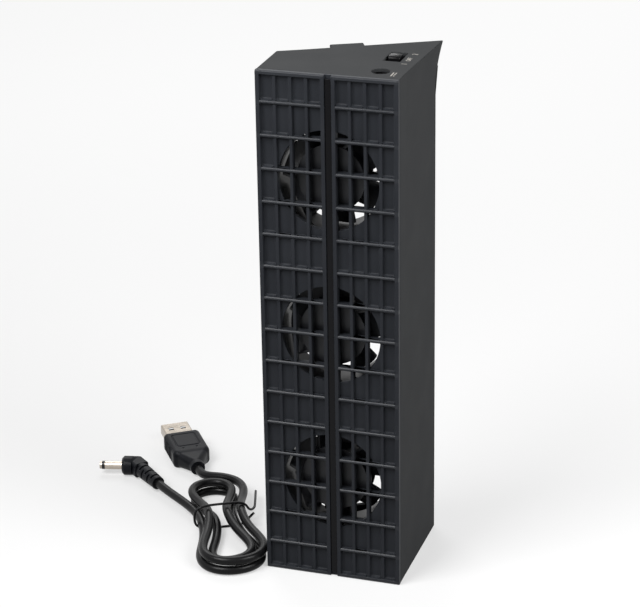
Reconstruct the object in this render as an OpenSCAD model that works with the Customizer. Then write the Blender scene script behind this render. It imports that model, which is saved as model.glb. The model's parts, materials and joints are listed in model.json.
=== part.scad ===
// Clip-on cooling fan for the back of a game console. A wedge-shaped housing stands on one end
// and holds three small axial fans behind a slatted front panel, with a power inlet and a
// slide switch on its top end. A short power cable lies beside it, tied in a hank.

/* [Housing] */
// Width of the front face
body_w = 53; // [51:0.5:64]
// Height of the body, which stands on its lower end
body_h = 200; // [196:1:230]
// Depth of the thin left side of the wedge
depth_left = 24.2; // [22:0.1:30]
// Depth of the thick right side of the wedge
depth_right = 50.5; // [46:0.1:58]
// Thickness of the side walls and the two ends
wall = 1.5; // [1.2:0.1:2]
// Width of the locating tab at the back of each end
tab_w = 12.5; // [8:0.5:18]
// Thickness of the locating tab
tab_t = 1.3; // [0.8:0.1:1.4]
// How far the locating tab stands out behind the body
tab_reach = 4.2; // [2:0.1:6]
// Sideways place of the locating tab along the back edge
tab_x = -3.1; // [-10:0.1:4]
// How far the flared ear stands out to the right at the top
ear_out = 2; // [0.8:0.1:3]
// How far the flared ear stands out behind at the top
ear_back = 2.6; // [1:0.1:4]
// Height over which the ear fades into the side and the back
ear_drop = 21; // [12:0.5:25]

/* [Front panel] */
// Full thickness of the front panel
panel_t = 3.6; // [3.2:0.1:5]
// Thickness of the panel's outer rim, in front of the housing
rim_t = 2; // [1.9:0.1:2.6]
// Width of the frame bar round the panel
frame_bar = 1.5; // [1.2:0.1:2]
// Depth of the panel's cells in front of its plate
cell_depth = 1.7; // [1.2:0.1:1.8]
// Number of rows of cells
rows = 16; // [12:2:18]
// Height of the cells in the first and last rows
end_cell = 9.65; // [8:0.05:11]
// Height of a horizontal bar
row_bar = 1.3; // [1:0.1:2]
// Chamfer on the front of the horizontal bars and of the panel's two ends
row_nose = 0.4; // [0.2:0.05:0.45]
// Number of columns of cells on each side of the centre strip
columns = 4; // [2:1:6]
// Width of an upright bar
column_bar = 1.1; // [0.8:0.1:1.6]
// How far the upright bars lie below the panel's face
column_drop = 0.5; // [0.2:0.1:1]
// Width of the strip down the middle of the panel
strip_w = 5.4; // [4:0.1:7]
// How far the strip lies to the right of the middle
strip_x = 0.5; // [-1:0.1:1]
// Width of the groove in the centre strip
groove_w = 2.6; // [2:0.1:3]
// Depth of the groove in the centre strip
groove_depth = 1.1; // [0.8:0.1:1.6]
// Thickness of the glossy trim in the groove
trim_t = 0.5; // [0.3:0.1:0.7]
// Diameter of the panel's three round openings
opening_d = 38; // [30:0.5:38.5]

/* [Fans] */
// Height left below and above the bays of the three fans
fan_margin = 10; // [8:0.5:14]
// Thickness of a fan
fan_t = 10; // [9.6:0.1:11]
// Bore of a fan's duct
duct_d = 38; // [36:0.1:39]
// Least wall of a fan's square frame round its duct
duct_wall = 1; // [0.8:0.1:1.4]
// Distance of a fan's corner holes from its edges
hole_edge = 4; // [3.6:0.1:4.4]
// Diameter of a fan's corner holes
hole_d = 3.4; // [3.3:0.1:4]
// Radius of a fan frame's corners
corner_r = 2.6; // [1:0.1:3]
// Diameter of the rotor's hub
hub_d = 25.6; // [24:0.1:26.4]
// Running clearance between the blade tips and the duct
tip_clear = 0.6; // [0.4:0.1:1]
// Number of blades
blades = 6; // [5:1:7]
// Thickness of a blade
blade_t = 0.8; // [0.6:0.1:1.2]
// Width of a blade round the hub
blade_span = 12; // [10:0.1:12.4]
// Radius of a blade's curve
blade_curve = 16; // [14:0.5:30]
// Thickness of the hub's cup
cup_t = 1; // [0.8:0.1:1.2]
// Thickness of the motor mount and its arms
mount_t = 1.3; // [1:0.1:1.6]
// Number of arms that carry the motor mount
arms = 3; // [3:1:5]
// Width of an arm
arm_w = 2.2; // [1.4:0.1:3]
// Diameter of a fan's shaft
shaft_d = 1.5; // [1:0.1:2]
// Radial running clearance between a shaft and its bearing
shaft_clear = 0.03; // [0.02:0.01:0.08]
// Outer diameter of the sleeve bearing
bearing_d = 4; // [3.6:0.1:4.4]
// Wall of the tube that holds the bearing
tube_wall = 1; // [0.8:0.1:1.2]
// Thickness of the rotor's magnet ring
magnet_t = 1; // [0.8:0.1:1.2]
// Thickness of a fan's circuit board
fan_board_t = 0.6; // [0.4:0.1:0.7]

/* [Controls] */
// Distance of the power inlet from the thick side
jack_in = 9.2; // [8.8:0.1:12]
// Place of the power inlet behind the front face
jack_y = 9.9; // [9:0.1:11]
// Diameter of the power inlet's hole in the end wall
inlet_d = 6.5; // [6:0.1:7]
// Bore of the power jack, for a 3.5 mm plug
jack_bore = 3.7; // [3.6:0.05:4]
// Diameter of the power jack's centre pin
jack_pin_d = 1.3; // [1:0.05:1.35]
// Distance of the switch from the thick side
switch_in = 9; // [8.8:0.1:11]
// Place of the switch behind the front face, as a share of the thick side's depth
switch_share = 0.558; // [0.54:0.002:0.58]
// Width of the switch slot in the end wall
slot_w = 6.2; // [5.5:0.1:7]
// Length of the switch slot in the end wall
slot_l = 11; // [10.6:0.1:12]
// Width of the switch knob
knob_w = 4.5; // [3.5:0.1:4.8]
// Length of the switch knob
knob_l = 5; // [4:0.1:5.2]
// How far the knob stands out of the end wall
knob_proud = 0.9; // [0.6:0.1:2]
// Travel of the knob to each side of its middle position
knob_travel = 2.5; // [1.5:0.1:2.6]
// Space between the end wall and the control board
board_drop = 9.7; // [9:0.1:11]
// Thickness of the control board
board_t = 1.2; // [0.8:0.1:1.6]

/* [Rear frame] */
// Thickness of the rear frame
rear_t = 2; // [1.8:0.1:3]
// Width of the air windows along the slanted back
window_w = 46; // [30:0.5:48]
// Height of the ribs between the air windows
window_rib = 6; // [4:0.5:10]
// Corner radius of the air windows
window_r = 4; // [2:0.5:8]
// Sideways place of the case screws along the slanted back
case_screw_x = 15; // [10:0.5:18]

/* [Fasteners] */
// Shank diameter of the small screws
screw_d = 1.6; // [1.4:0.1:1.8]
// Head diameter of the small screws
screw_head_d = 3.8; // [3:0.1:4]
// Height of the screw heads
screw_head_h = 1.2; // [1:0.1:1.3]
// Diameter of the posts that the fans sit on
post_d = 3; // [2.8:0.05:3.1]

/* [Cable] */
// Diameter of the cable
cable_d = 3.5; // [3:0.1:4]
// Diameter of the tie's wire
tie_d = 1; // [0.8:0.1:1.2]
// Width of the USB plug's metal shell
usb_w = 12; // [11.8:0.1:12.2]
// Height of the USB plug's metal shell
usb_h = 4.5; // [4.4:0.1:4.6]
// Length of the USB shell that stands out of its moulding
usb_l = 12; // [11:0.1:13]
// Width of the USB plug's moulding
usb_grip_w = 15.7; // [14.5:0.1:17]
// Height of the USB plug's moulding
usb_grip_h = 8; // [7:0.1:9]
// Length of the USB plug's moulding, without its tail
usb_grip_l = 19; // [16:0.5:24]
// Length of the USB moulding's tapered tail
usb_tail_l = 10; // [8:0.5:14]
// Outer diameter of the power plug's barrel
barrel_d = 3.5; // [3.4:0.05:3.6]
// Length of the power plug's barrel
barrel_l = 9.5; // [8:0.1:10]
// Diameter of the power plug's round collar
collar_d = 8; // [7:0.1:10]
// Length of the power plug's round collar
collar_l = 6; // [4:0.1:8]
// Angle by which the power plug is bent
plug_bend = 55; // [30:1:90]
// Number of ribs on the power plug's strain relief
relief_ribs = 6; // [4:1:8]

/* [Hidden] */
$fn = 64;
// Small gaps: between fixed pieces, moving pieces, pressed pieces, seated pieces, and overlap for cuts
fit_gap = 0.15;
move_gap = 0.3;
press_gap = 0.02;
seat_gap = 0.1;
over = 1;
// The front face lies this far in front of the origin, which is at the middle of the lower end
front_y = -(depth_left + depth_right) / 4;
// Slant of the back, seen from above, and the middle of its line
slant = atan2(depth_right - depth_left, body_w);
back_mid = (depth_left + depth_right) / 2;
// Spacing, size and corner holes of the fans, and the height of their axes from the lowest fan up
fan_pitch = (body_h - 2 * fan_margin) / 3;
fan_size = duct_d + 2 * duct_wall;
hole_pitch = fan_size - 2 * hole_edge;
fan_z = [for (k = [-1:1]) body_h / 2 + k * fan_pitch];
// Angle at which each rotor rests
rotor_rest = [32, 16, 40];
// Panel: spacing of the rows, inner half widths, and spacing of the columns on the left and the right
row_pitch = (body_h - 2 * (frame_bar + end_cell) - row_bar) / (rows - 2);
cell_half = body_w / 2 - frame_bar;
plug_half = body_w / 2 - wall - fit_gap;
column_pitch = [for (side = [-1, 1]) (cell_half - side * strip_x - strip_w / 2 + column_bar) / columns];
// Ear: steps of its curve, and how deep its edges start in the housing
ear_steps = 8;
ear_sink = 0.3;
// Fan: depths from the fan's own front
fan_y = panel_t;
hub_front = 0.8;
hub_back_gap = 0.7;
blade_set_back = 0.4;
blade_set_in = 0.2;
mount_over = 0.5;
mount_y = fan_t - mount_t;
arm_root = 0.4;
arm_set_in = 0.2;
hub_back = mount_y - hub_back_gap;
blade_front = hub_front + blade_set_back;
blade_back = hub_back - blade_set_in;
tip_r = duct_d / 2 - tip_clear;
tube_r = bearing_d / 2 + tube_wall;
boss_wall = 1.75;
boss_l = 1;
tube_front = hub_front + cup_t + boss_l + move_gap;
// Motor: the magnet's air gap, the stator's ring, poles and coils
air_gap = 0.4;
cup_r = hub_d / 2 - cup_t;
magnet_r = cup_r - fit_gap;
magnet_front = hub_front + cup_t + fit_gap;
fan_board_y = mount_y - seat_gap - fan_board_t;
magnet_back = fan_board_y - air_gap;
stator_r = magnet_r - magnet_t - air_gap;
stator_ring_r = tube_r + 1;
stator_front = tube_front + move_gap;
stator_back = fan_board_y - move_gap;
pole_w = 1.5;
coil_w = 4;
// Posts and screws, with the size of a screw's cross recess
post_l = fan_t - 2;
pilot_clear = 0.05;
pilot_d = screw_d + 2 * pilot_clear;
screw_l = 5.5;
recess_l = 2.1;
recess_w = 0.6;
recess_depth = 0.6;
// Control board: the inlet, the switch, its edges and its two posts beside the gap between them
jack_x = body_w / 2 - jack_in;
switch_x = body_w / 2 - switch_in;
switch_y = switch_share * depth_right;
jack_l = 8;
case_l = 14;
end_z = body_h - wall;
board_z = end_z - board_drop;
board_in = 20.5;
board_front = 1.4;
board_past = 7.6;
board_post_in = [-6.6, 5.2];
board_x0 = body_w / 2 - board_in;
board_y0 = panel_t + board_front;
board_y1 = switch_y + board_past;
board_post_x = [for (x = board_post_in) jack_x + x];
board_post_y = (jack_y + jack_l / 2 + switch_y - case_l / 2) / 2;
board_post_d = 4.2;
// Power jack
jack_w = 6.8;
jack_h = board_drop - 0.2;
jack_floor = 1.6;
jack_pin_h = 6;
spring_t = 0.35;
spring_w = 1.6;
spring_h = 5.9;
spring_sink = 0.05;
spring_room = 0.2;
// Switch
case_w = 7.4;
case_h = 6;
cover_t = 0.4;
slider_lip = 0.2;
slider_w = knob_w + 2 * slider_lip;
slider_l = knob_l + 1.2;
channel_floor = 2.4;
channel_w = slider_w + 2 * fit_gap;
channel_l = slider_l + 2 * (knob_travel + move_gap);
slider_h = case_h - channel_floor - 2 * fit_gap;
ridge_pitch = 1.4;
ridge_w = 0.6;
ridge_depth = 0.4;
// Terminals: length, section, spacing under the switch, and distance from the jack's back
pin_l = 3.4;
pin_a = 0.8;
pin_b = 0.5;
pin_gap = 0.15;
pin_pitch = 3.9;
jack_pin_in = 1.2;
// Connectors under the board
header_w = 4.4;
header_l = 3.6;
header_h = 4.4;
header_pitch = 4.8;
header_hole_l = 3;
header_in = 5.4;
header_shift = 0.5;
header_x = board_x0 + header_in;
header_y = [for (k = [0:2]) switch_y - header_shift + (k - 1) * header_pitch];
// Leads: radius, spacing of a pair, their place in the gap beside the fan frames, the height where each
// pair turns back, and the size of its turns
lead_r = 0.55;
lead_gap = 1.5;
lead_x = (fan_size / 2 + body_w / 2 - wall) / 2;
lead_behind = 2.7;
lead_above = 19;
lead_y = [for (k = [0:2]) panel_t + lead_behind + k * 2 * lead_gap];
lead_top = [for (k = [0:2]) fan_z[2] + lead_above - k * 2 * lead_gap];
lead_turn = 3;
lead_climb = 1.4;
lead_ref = [0.31, 0.94, 0.13];
// Rear frame: screw bosses and the length of their screws
rear_boss_d = 5;
rear_boss_l = 6;
rear_boss_in = wall + rear_boss_d / 2 - 0.4;
case_screw_l = 5;
// USB plug: its moulding's round edges and tail, its shell, latch windows, tongue and contacts
usb_z = usb_grip_h / 2;
usb_round = 2.2;
usb_tail_wall = 1.3;
usb_tail_in = [1.5, 0.7];
usb_shell_t = 0.3;
usb_fold = 0.8;
usb_set_in = 6;
latch_l = 2.4;
latch_w = 2.2;
latch_pitch = 5.2;
latch_from_tip = 4;
tongue_h = 1.8;
tongue_short = 0.6;
tongue_gap = 0.1;
tongue_z = -usb_h / 2 + usb_shell_t + tongue_gap / 2;
contact_w = 1;
contact_t = 0.15;
contact_short = 1;
contact_at = [[-3.5, 1.4], [-1, 2.4], [1, 2.4], [3.5, 1.4]];
// Power plug: strain relief, neck and elbow, and the layers of its barrel
dc_z = collar_d / 2;
relief_pitch = 2.3;
relief_core_r = 2.3;
relief_rib_r = 3;
relief_rib_l = 1.4;
relief_start = 0.8;
relief_l = relief_ribs * relief_pitch;
neck_l = 4.8;
neck_d = 6.4;
neck_round = 1.2;
elbow_x = relief_l + relief_start + neck_l;
elbow_room = 4 * collar_d;
mitre_past = 0.2;
collar_chamfer = 0.8;
barrel_t = 0.5;
insulator_t = 1.2;
lining_t = 0.3;
plug_gap = 0.05;
tip_l = 1;
tip_d = barrel_d - 0.4;
ring_x = barrel_l - tip_l - insulator_t;
// Hank: the floor point of its lower end and the direction towards its plugs
hank_at = [-36.3, -26.5];
hank_turn = 119;
turns = 65 / 24;
rings = 24;
turn_back = 1.25;
turn_step = 4.7;
layer_step = 4;
waist_u = 37.3;
lobe_low = 34;
lobe_up = 27;
waist_half = 0.9;
swell_low = 17.5;
swell_up = 13.6;
waist_wide = 0.2;
waist_run = 14;
tie_lift = 1.75;
tie_run = 9;
floor_gap = 0.1;
// Ends of the cable in the hank's own plane: where each plug's tail is, and its direction
usb_tail = [84, -2.5];
usb_turn = -6;
dc_tail = [74, -20.5];
dc_turn = -20;
pull_in = 12;
pull_out = 6;
// Tie: half width, half height and middle of its loop round the bundle, and its step along the hank
tie_room = 1.15;
tie_half = turn_step * turn_back * (1 + waist_wide) + waist_half + cable_d / 2 + tie_room;
tie_rise = (cable_d + layer_step) / 2 + tie_room;
tie_mid = cable_d / 2 + floor_gap + tie_lift + layer_step / 2;
tie_pitch = 1.7;
tie_ref = [0.9, 0.1, 0.42];
// Points between two stretches of a path before the gap between them counts
gap_skip = 22;

// Puts a piece drawn from the front face into the part's frame.
module from_front() {
    translate([0, front_y, 0]) children();
}

// Frame of the slanted back: x along the back, y out of it, z up.
module back_frame() {
    translate([0, back_mid, 0]) rotate([0, 0, slant]) children();
}

// The same frame, in the part's own frame.
module on_back() {
    from_front() back_frame() children();
}

// Frame of fan k: x right, y back from the fan's front, z up.
module in_fan(k) {
    from_front() translate([0, fan_y, fan_z[k]]) children();
}

// A cylinder along Y between two depths.
module rod_y(d, y0, y1) {
    translate([0, y0, 0]) rotate([-90, 0, 0]) cylinder(d = d, h = y1 - y0);
}

// A cylinder along X between two places.
module rod_x(d, x0, x1) {
    translate([x0, 0, 0]) rotate([0, 90, 0]) cylinder(d = d, h = x1 - x0);
}

// A box centred on X and Z, between two depths.
module slab(w, y0, y1, h) {
    translate([-w / 2, y0, -h / 2]) cube([w, y1 - y0, h]);
}

// A rectangle with round corners.
module round_rect(w, h, r) {
    square([w - 2 * r, h], center = true);
    square([w, h - 2 * r], center = true);
    for (x = [-1, 1], y = [-1, 1]) translate([x * (w / 2 - r), y * (h / 2 - r)]) circle(r);
}

// A section drawn in Y and Z, carried along X between two places.
module along_x(x0, x1) {
    translate([x0, 0, 0]) rotate([90, 0, 90]) linear_extrude(x1 - x0) children();
}

// The four corners of a square of the given pitch, in the XZ plane.
module at_corners(pitch) {
    for (x = [-1, 1], z = [-1, 1]) translate([x * pitch / 2, 0, z * pitch / 2]) children();
}

// A round tube swept along points: a ring of corners at each, square to the path.
module tube(path, r, sides, ref) {
    last = len(path) - 1;
    tangent = [for (i = [0:last]) path[min(i + 1, last)] - path[max(i - 1, 0)]];
    points = [
        for (i = [0:last])
        let (t = tangent[i] / norm(tangent[i]), c = cross(ref, t), a = c / norm(c), b = cross(t, a))
        for (k = [0:sides - 1]) path[i] + r * (cos(360 * k / sides) * a + sin(360 * k / sides) * b)
    ];
    skin = [
        for (i = [0:last - 1], k = [0:sides - 1])
        let (p = i * sides + k, q = i * sides + (k + 1) % sides)
        each [[p, p + sides, q], [q, p + sides, q + sides]]
    ];
    caps = [
        for (k = [1:sides - 2])
        each [[0, k, k + 1], [last * sides, last * sides + k + 1, last * sides + k]]
    ];
    polyhedron(points, concat(skin, caps));
}

// Points of a cubic curve from its four control points.
function curve(p, n) = [
    for (i = [0:n])
    let (s = i / n)
    pow(1 - s, 3) * p[0] + 3 * pow(1 - s, 2) * s * p[1] + 3 * (1 - s) * s * s * p[2] + pow(s, 3) * p[3]
];

// A direction in the plane, from its angle.
function dir(a) = [cos(a), sin(a)];

// A bar across the panel, with a chamfered nose.
module nosed_bar(w, back, h) {
    along_x(-w / 2, w / 2) polygon([
        [row_nose, -h / 2],
        [0, row_nose - h / 2],
        [0, h / 2 - row_nose],
        [row_nose, h / 2],
        [back, h / 2],
        [back, -h / 2]
    ]);
}

// The outer block of the front panel: its rim, and the step behind it that fits in the housing.
module panel_block() {
    nosed_bar(body_w, rim_t, body_h);
    slab(2 * plug_half, rim_t - over, panel_t, body_h - 2 * (wall + fit_gap));
}

// The bars over the panel's cells: rows in front, lower uprights, and the centre strip.
module panel_bars() {
    back = panel_t - fit_gap;
    for (k = [1:rows - 1]) translate([0, 0, (k - rows / 2) * row_pitch]) nosed_bar(body_w, back, row_bar);
    translate([strip_x, 0, 0]) {
        for (side = [0, 1], k = [1:columns - 1])
            translate([(2 * side - 1) * (strip_w / 2 + k * column_pitch[side] - column_bar / 2), 0, 0])
                slab(column_bar, column_drop, back, body_h);
        slab(strip_w, 0, back, body_h);
    }
}

// The places of the fans, from the middle of the panel.
module at_fans() {
    for (z = fan_z) translate([0, 0, z - body_h / 2]) children();
}

// The front panel: a rim, a plate with three openings, bars across them and posts behind.
module front_grille() {
    color("#26272b") from_front() translate([0, 0, body_h / 2]) difference() {
        union() {
            difference() {
                panel_block();
                slab(2 * cell_half, -over, cell_depth, body_h - 2 * frame_bar);
                at_fans() rod_y(opening_d, 0, panel_t + over);
            }
            intersection() {
                panel_block();
                panel_bars();
            }
            at_fans() at_corners(hole_pitch) rod_y(post_d, cell_depth, panel_t + post_l);
        }
        translate([strip_x, 0, 0]) slab(groove_w, -over, groove_depth, body_h + over);
        at_fans() at_corners(hole_pitch) rod_y(pilot_d, panel_t + over, panel_t + post_l + over);
    }
}

// The glossy strip that lies in the panel's centre groove.
module centre_trim() {
    color("#101114") from_front() translate([strip_x, 0, body_h / 2])
        slab(groove_w - 2 * fit_gap, groove_depth - trim_t, groove_depth, body_h - 2 * wall);
}

// Plan of the housing, from a depth to the back, drawn in from the sides.
module plan(inset, y0, past) {
    x = body_w / 2 - inset;
    lean = tan(slant) * x;
    polygon([[-x, y0], [x, y0], [x, back_mid + lean + past], [-x, back_mid - lean + past]]);
}

// The flared ear: a stack of triangles whose tip leaves the thick back corner in a hollow curve, while
// the other two corners stay in the housing, at its thick front edge and its thin back edge.
module ear() {
    x = body_w / 2;
    front = [x - ear_sink, rim_t + over];
    thin = [over - x, depth_left + over * tan(slant) - ear_sink];
    points = [
        for (i = [0:ear_steps + 1])
        let (
            s = min(i / ear_steps, 1),
            z = body_h - ear_drop + ear_drop * s + (i > ear_steps ? 2 * over : 0),
            tip_x = x - ear_sink + (ear_out + ear_sink) * s * s,
            tip_y = depth_right - ear_sink + (ear_back + ear_sink) * s * s
        )
        for (p = [front, [tip_x, tip_y], thin]) [p[0], p[1], z]
    ];
    skin = [
        for (i = [0:ear_steps], k = [0:2])
        let (p = 3 * i + k, q = 3 * i + (k + 1) % 3)
        each [[p, p + 3, q], [q, p + 3, q + 3]]
    ];
    last = 3 * (ear_steps + 1);
    polyhedron(points, concat(skin, [[0, 1, 2], [last, last + 2, last + 1]]));
}

// Places of the four case screws on the slanted back.
module at_case_screws() {
    for (x = [-1, 1], z = [rear_boss_in, body_h - rear_boss_in])
        translate([x * case_screw_x, 0, z]) children();
}

// The housing: two sides and two ends, with tabs, the ear, screw bosses and control openings.
// Its ends are drawn too long and then cut level.
module housing() {
    color("#2c2d31") difference() {
        union() {
            from_front() difference() {
                union() {
                    translate([0, 0, -over]) linear_extrude(body_h + 2 * over) plan(0, rim_t + fit_gap, 0);
                    ear();
                }
                translate([0, 0, wall]) linear_extrude(body_h - 2 * wall) plan(wall, 0, ear_back + over);
            }
            for (z = [-2 * over, body_h - tab_t]) on_back()
                translate([tab_x - tab_w / 2, -over, z]) cube([tab_w, tab_reach + over, tab_t + 2 * over]);
            on_back() at_case_screws()
                rod_y(rear_boss_d, -rear_t - fit_gap - rear_boss_l, -rear_t - fit_gap);
            from_front() for (x = board_post_x)
                translate([x, board_post_y, board_z]) cylinder(d = board_post_d, h = board_drop + wall / 2);
        }
        for (z = [-body_h / 2, body_h * 3 / 2])
            translate([0, 0, z]) cube([4 * body_w, 4 * depth_right, body_h], center = true);
        on_back() at_case_screws() rod_y(pilot_d, -rear_t - rear_boss_l + over / 2, 0);
        from_front() translate([jack_x, jack_y, end_z - over]) cylinder(d = inlet_d, h = wall + 2 * over);
        from_front() translate([switch_x - slot_w / 2, switch_y - slot_l / 2, end_z - over])
            cube([slot_w, slot_l, wall + 2 * over]);
        from_front() for (x = board_post_x)
            translate([x, board_post_y, board_z - over]) cylinder(d = pilot_d, h = board_drop);
    }
}

// The rear frame: a slanted plate with an air window behind each fan.
module rear_frame() {
    color("#232427") difference() {
        intersection() {
            on_back() translate([0, 0, body_h / 2]) slab(2 * body_w, -rear_t, 0, body_h);
            from_front() translate([0, 0, wall + fit_gap])
                linear_extrude(body_h - 2 * (wall + fit_gap)) plan(wall + fit_gap, 0, over);
        }
        on_back() for (z = fan_z) translate([0, over, z]) rotate([90, 0, 0])
            linear_extrude(rear_t + 2 * over) round_rect(window_w, fan_pitch - window_rib, window_r);
        on_back() at_case_screws() {
            rod_y(screw_d + 2 * move_gap, -rear_t - over, over);
            rod_y(screw_head_d + 2 * move_gap, -screw_head_h, over);
        }
    }
}

// A fan's frame: square, with the duct, a motor mount on arms and the bearing tube.
module fan_frame(k) {
    color("#1d1e20") in_fan(k) {
        difference() {
            translate([0, fan_t, 0]) rotate([90, 0, 0]) linear_extrude(fan_t)
                round_rect(fan_size, fan_size, corner_r);
            rod_y(duct_d, -over, fan_t + over);
            at_corners(hole_pitch) rod_y(hole_d, -over, fan_t + over);
        }
        difference() {
            union() {
                rod_y(hub_d + 2 * mount_over, mount_y, fan_t);
                rod_y(2 * tube_r, tube_front, mount_y + mount_t / 2);
                for (a = [0:360 / arms:359])
                    rotate([0, -a, 0]) translate([0, mount_y + arm_set_in, -arm_w / 2])
                        cube([duct_d / 2 + arm_root, mount_t - 2 * arm_set_in, arm_w]);
            }
            rod_y(bearing_d, tube_front - over, mount_y);
        }
    }
}

// A rotor: a cup-shaped hub with a boss for the shaft, and blades curved about a radial line.
module rotor(k) {
    chord_rise = blade_back - blade_front;
    chord = sqrt(blade_span * blade_span + chord_rise * chord_rise);
    drop = sqrt(blade_curve * blade_curve - chord * chord / 4);
    lean = atan2(chord_rise, blade_span);
    color("#222326") in_fan(k) rotate([0, -rotor_rest[k], 0]) {
        difference() {
            union() {
                difference() {
                    rod_y(hub_d, hub_front, hub_back);
                    rod_y(2 * cup_r, hub_front + cup_t, hub_back + over);
                }
                rod_y(shaft_d + 2 * boss_wall, hub_front + cup_t / 2, hub_front + cup_t + boss_l);
                for (b = [0:blades - 1]) rotate([0, -360 * b / blades, 0]) intersection() {
                    translate([0, (blade_front + blade_back) / 2, 0]) rotate([lean, 0, 0])
                        translate([0, -drop, 0]) difference() {
                            rod_x(2 * blade_curve + blade_t, 0, duct_d);
                            rod_x(2 * blade_curve - blade_t, -over, duct_d + over);
                        }
                    difference() {
                        rod_y(2 * tip_r, blade_front, blade_back);
                        rod_y(hub_d - cup_t, 0, fan_t);
                    }
                    translate([0, 0, -blade_span / 2 - over]) cube([duct_d, fan_t, blade_span + 2 * over]);
                }
            }
            rod_y(shaft_d + 2 * press_gap, hub_front + cup_t / 2, hub_back);
        }
    }
}

// The magnet ring glued inside a rotor's cup.
module magnet(k) {
    color("#3b3a39") in_fan(k) difference() {
        rod_y(2 * magnet_r, magnet_front, magnet_back);
        rod_y(2 * (magnet_r - magnet_t), magnet_front - over, magnet_back + over);
    }
}

// A fan's steel shaft, pressed into the rotor's boss.
module shaft(k) {
    color("#b9bbbe") in_fan(k) rod_y(shaft_d, hub_front + cup_t / 2 + seat_gap, mount_y - move_gap);
}

// The sleeve bearing in a fan frame's tube.
module bearing(k) {
    color("#a8844f") in_fan(k) difference() {
        rod_y(bearing_d - 2 * press_gap, tube_front + seat_gap, mount_y - seat_gap);
        rod_y(shaft_d + 2 * shaft_clear, tube_front - over, mount_y + over);
    }
}

// The laminated stator core: a ring on the bearing tube with four poles.
module stator(k) {
    color("#76787b") in_fan(k) difference() {
        union() {
            rod_y(2 * stator_ring_r, stator_front, stator_back);
            intersection() {
                rod_y(2 * stator_r, stator_front, stator_back);
                union() {
                    slab(2 * stator_r, stator_front, stator_back, pole_w);
                    slab(pole_w, stator_front, stator_back, 2 * stator_r);
                }
            }
        }
        rod_y(2 * (tube_r + press_gap), stator_front - over, stator_back + over);
    }
}

// The four windings, each a wound block between two poles.
module windings(k) {
    color("#a4552b") in_fan(k) for (a = [45:90:359]) rotate([0, -a, 0]) intersection() {
        difference() {
            rod_y(2 * (stator_r - fit_gap), stator_front + fit_gap, stator_back - fit_gap);
            rod_y(2 * (stator_ring_r + fit_gap), 0, fan_t);
        }
        translate([0, 0, -coil_w / 2]) cube([duct_d, fan_t, coil_w]);
    }
}

// The small round circuit board under a fan's stator.
module fan_board(k) {
    color("#2f6b45") in_fan(k) difference() {
        rod_y(2 * (cup_r - 2 * move_gap), fan_board_y, fan_board_y + fan_board_t);
        rod_y(2 * (tube_r + fit_gap), 0, fan_t);
    }
}

// A screw along Y: a pan head with a cross recess, on a plain shank.
module screw_y(length) {
    difference() {
        rod_y(screw_head_d, 0, screw_head_h);
        for (a = [0, 90]) rotate([0, a, 0])
            slab(recess_l, screw_head_h - recess_depth, screw_head_h + over, recess_w);
    }
    rod_y(screw_d, -length, (screw_head_h - recess_depth) / 2);
}

// The twelve screws that hold the fans on the panel's posts.
module fan_screws() {
    color("#c3c5c8") for (k = [0:2]) in_fan(k) translate([0, fan_t, 0]) at_corners(hole_pitch)
        screw_y(screw_l);
}

// The four screws that hold the rear frame, sunk in its counterbores.
module case_screws() {
    color("#c3c5c8") on_back() translate([0, -screw_head_h, 0]) at_case_screws()
        screw_y(case_screw_l);
}

// Where the terminals of the jack and the switch pass through the control board.
function terminals() = concat(
    [for (x = [-1, 1]) [jack_x + x * jack_w / 4, jack_y + jack_l / 2 - jack_pin_in]],
    [for (x = [-1, 1], k = [-1:1]) [switch_x + x * case_w / 4, switch_y + k * pin_pitch]]
);

// The control board under the end wall.
module control_board() {
    color("#2c6a44") from_front() difference() {
        translate([board_x0, board_y0, board_z - board_t])
            cube([body_w / 2 - wall - move_gap - board_x0, board_y1 - board_y0, board_t]);
        for (p = terminals()) translate([p[0], p[1], board_z - board_t / 2])
            cube([pin_a + 2 * pin_gap, pin_b + 2 * pin_gap, board_t + over], center = true);
        for (x = board_post_x) translate([x, board_post_y, board_z - board_t - over])
            cylinder(d = screw_d + 2 * move_gap, h = board_t + 2 * over);
    }
}

// The two screws that hold the control board to its posts.
module board_screws() {
    color("#c3c5c8") from_front() for (x = board_post_x)
        translate([x, board_post_y, board_z - board_t]) rotate([-90, 0, 0]) screw_y(screw_l);
}

// The power jack's moulding, with its bore and a slot for the spring.
module dc_jack() {
    color("#141517") from_front() translate([jack_x, jack_y, board_z]) difference() {
        translate([-jack_w / 2, -jack_l / 2, 0]) cube([jack_w, jack_l, jack_h]);
        translate([0, 0, jack_floor]) cylinder(d = jack_bore, h = jack_h);
        translate([-spring_w / 2 - spring_room, 0, jack_floor]) cube([
            spring_w + 2 * spring_room,
            jack_bore / 2 + spring_t + spring_room,
            spring_h + spring_room
        ]);
    }
}

// The centre pin of the power jack.
module dc_jack_pin() {
    color("#c9c7bf") from_front() translate([jack_x, jack_y, board_z + jack_floor])
        cylinder(d = jack_pin_d, h = jack_pin_h);
}

// The flat spring that touches the plug's sleeve.
module dc_jack_spring() {
    color("#c8a660") from_front() translate([jack_x, jack_y + jack_bore / 2, board_z + jack_floor])
        translate([-spring_w / 2, -spring_sink, 0]) cube([spring_w, spring_t, spring_h]);
}

// The switch's case, with the channel that its slider runs in.
module switch_case() {
    color("#17181a") from_front() translate([switch_x, switch_y, board_z]) difference() {
        translate([-case_w / 2, -case_l / 2, 0]) cube([case_w, case_l, case_h]);
        translate([-channel_w / 2, -channel_l / 2, channel_floor]) cube([channel_w, channel_l, case_h]);
    }
}

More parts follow.
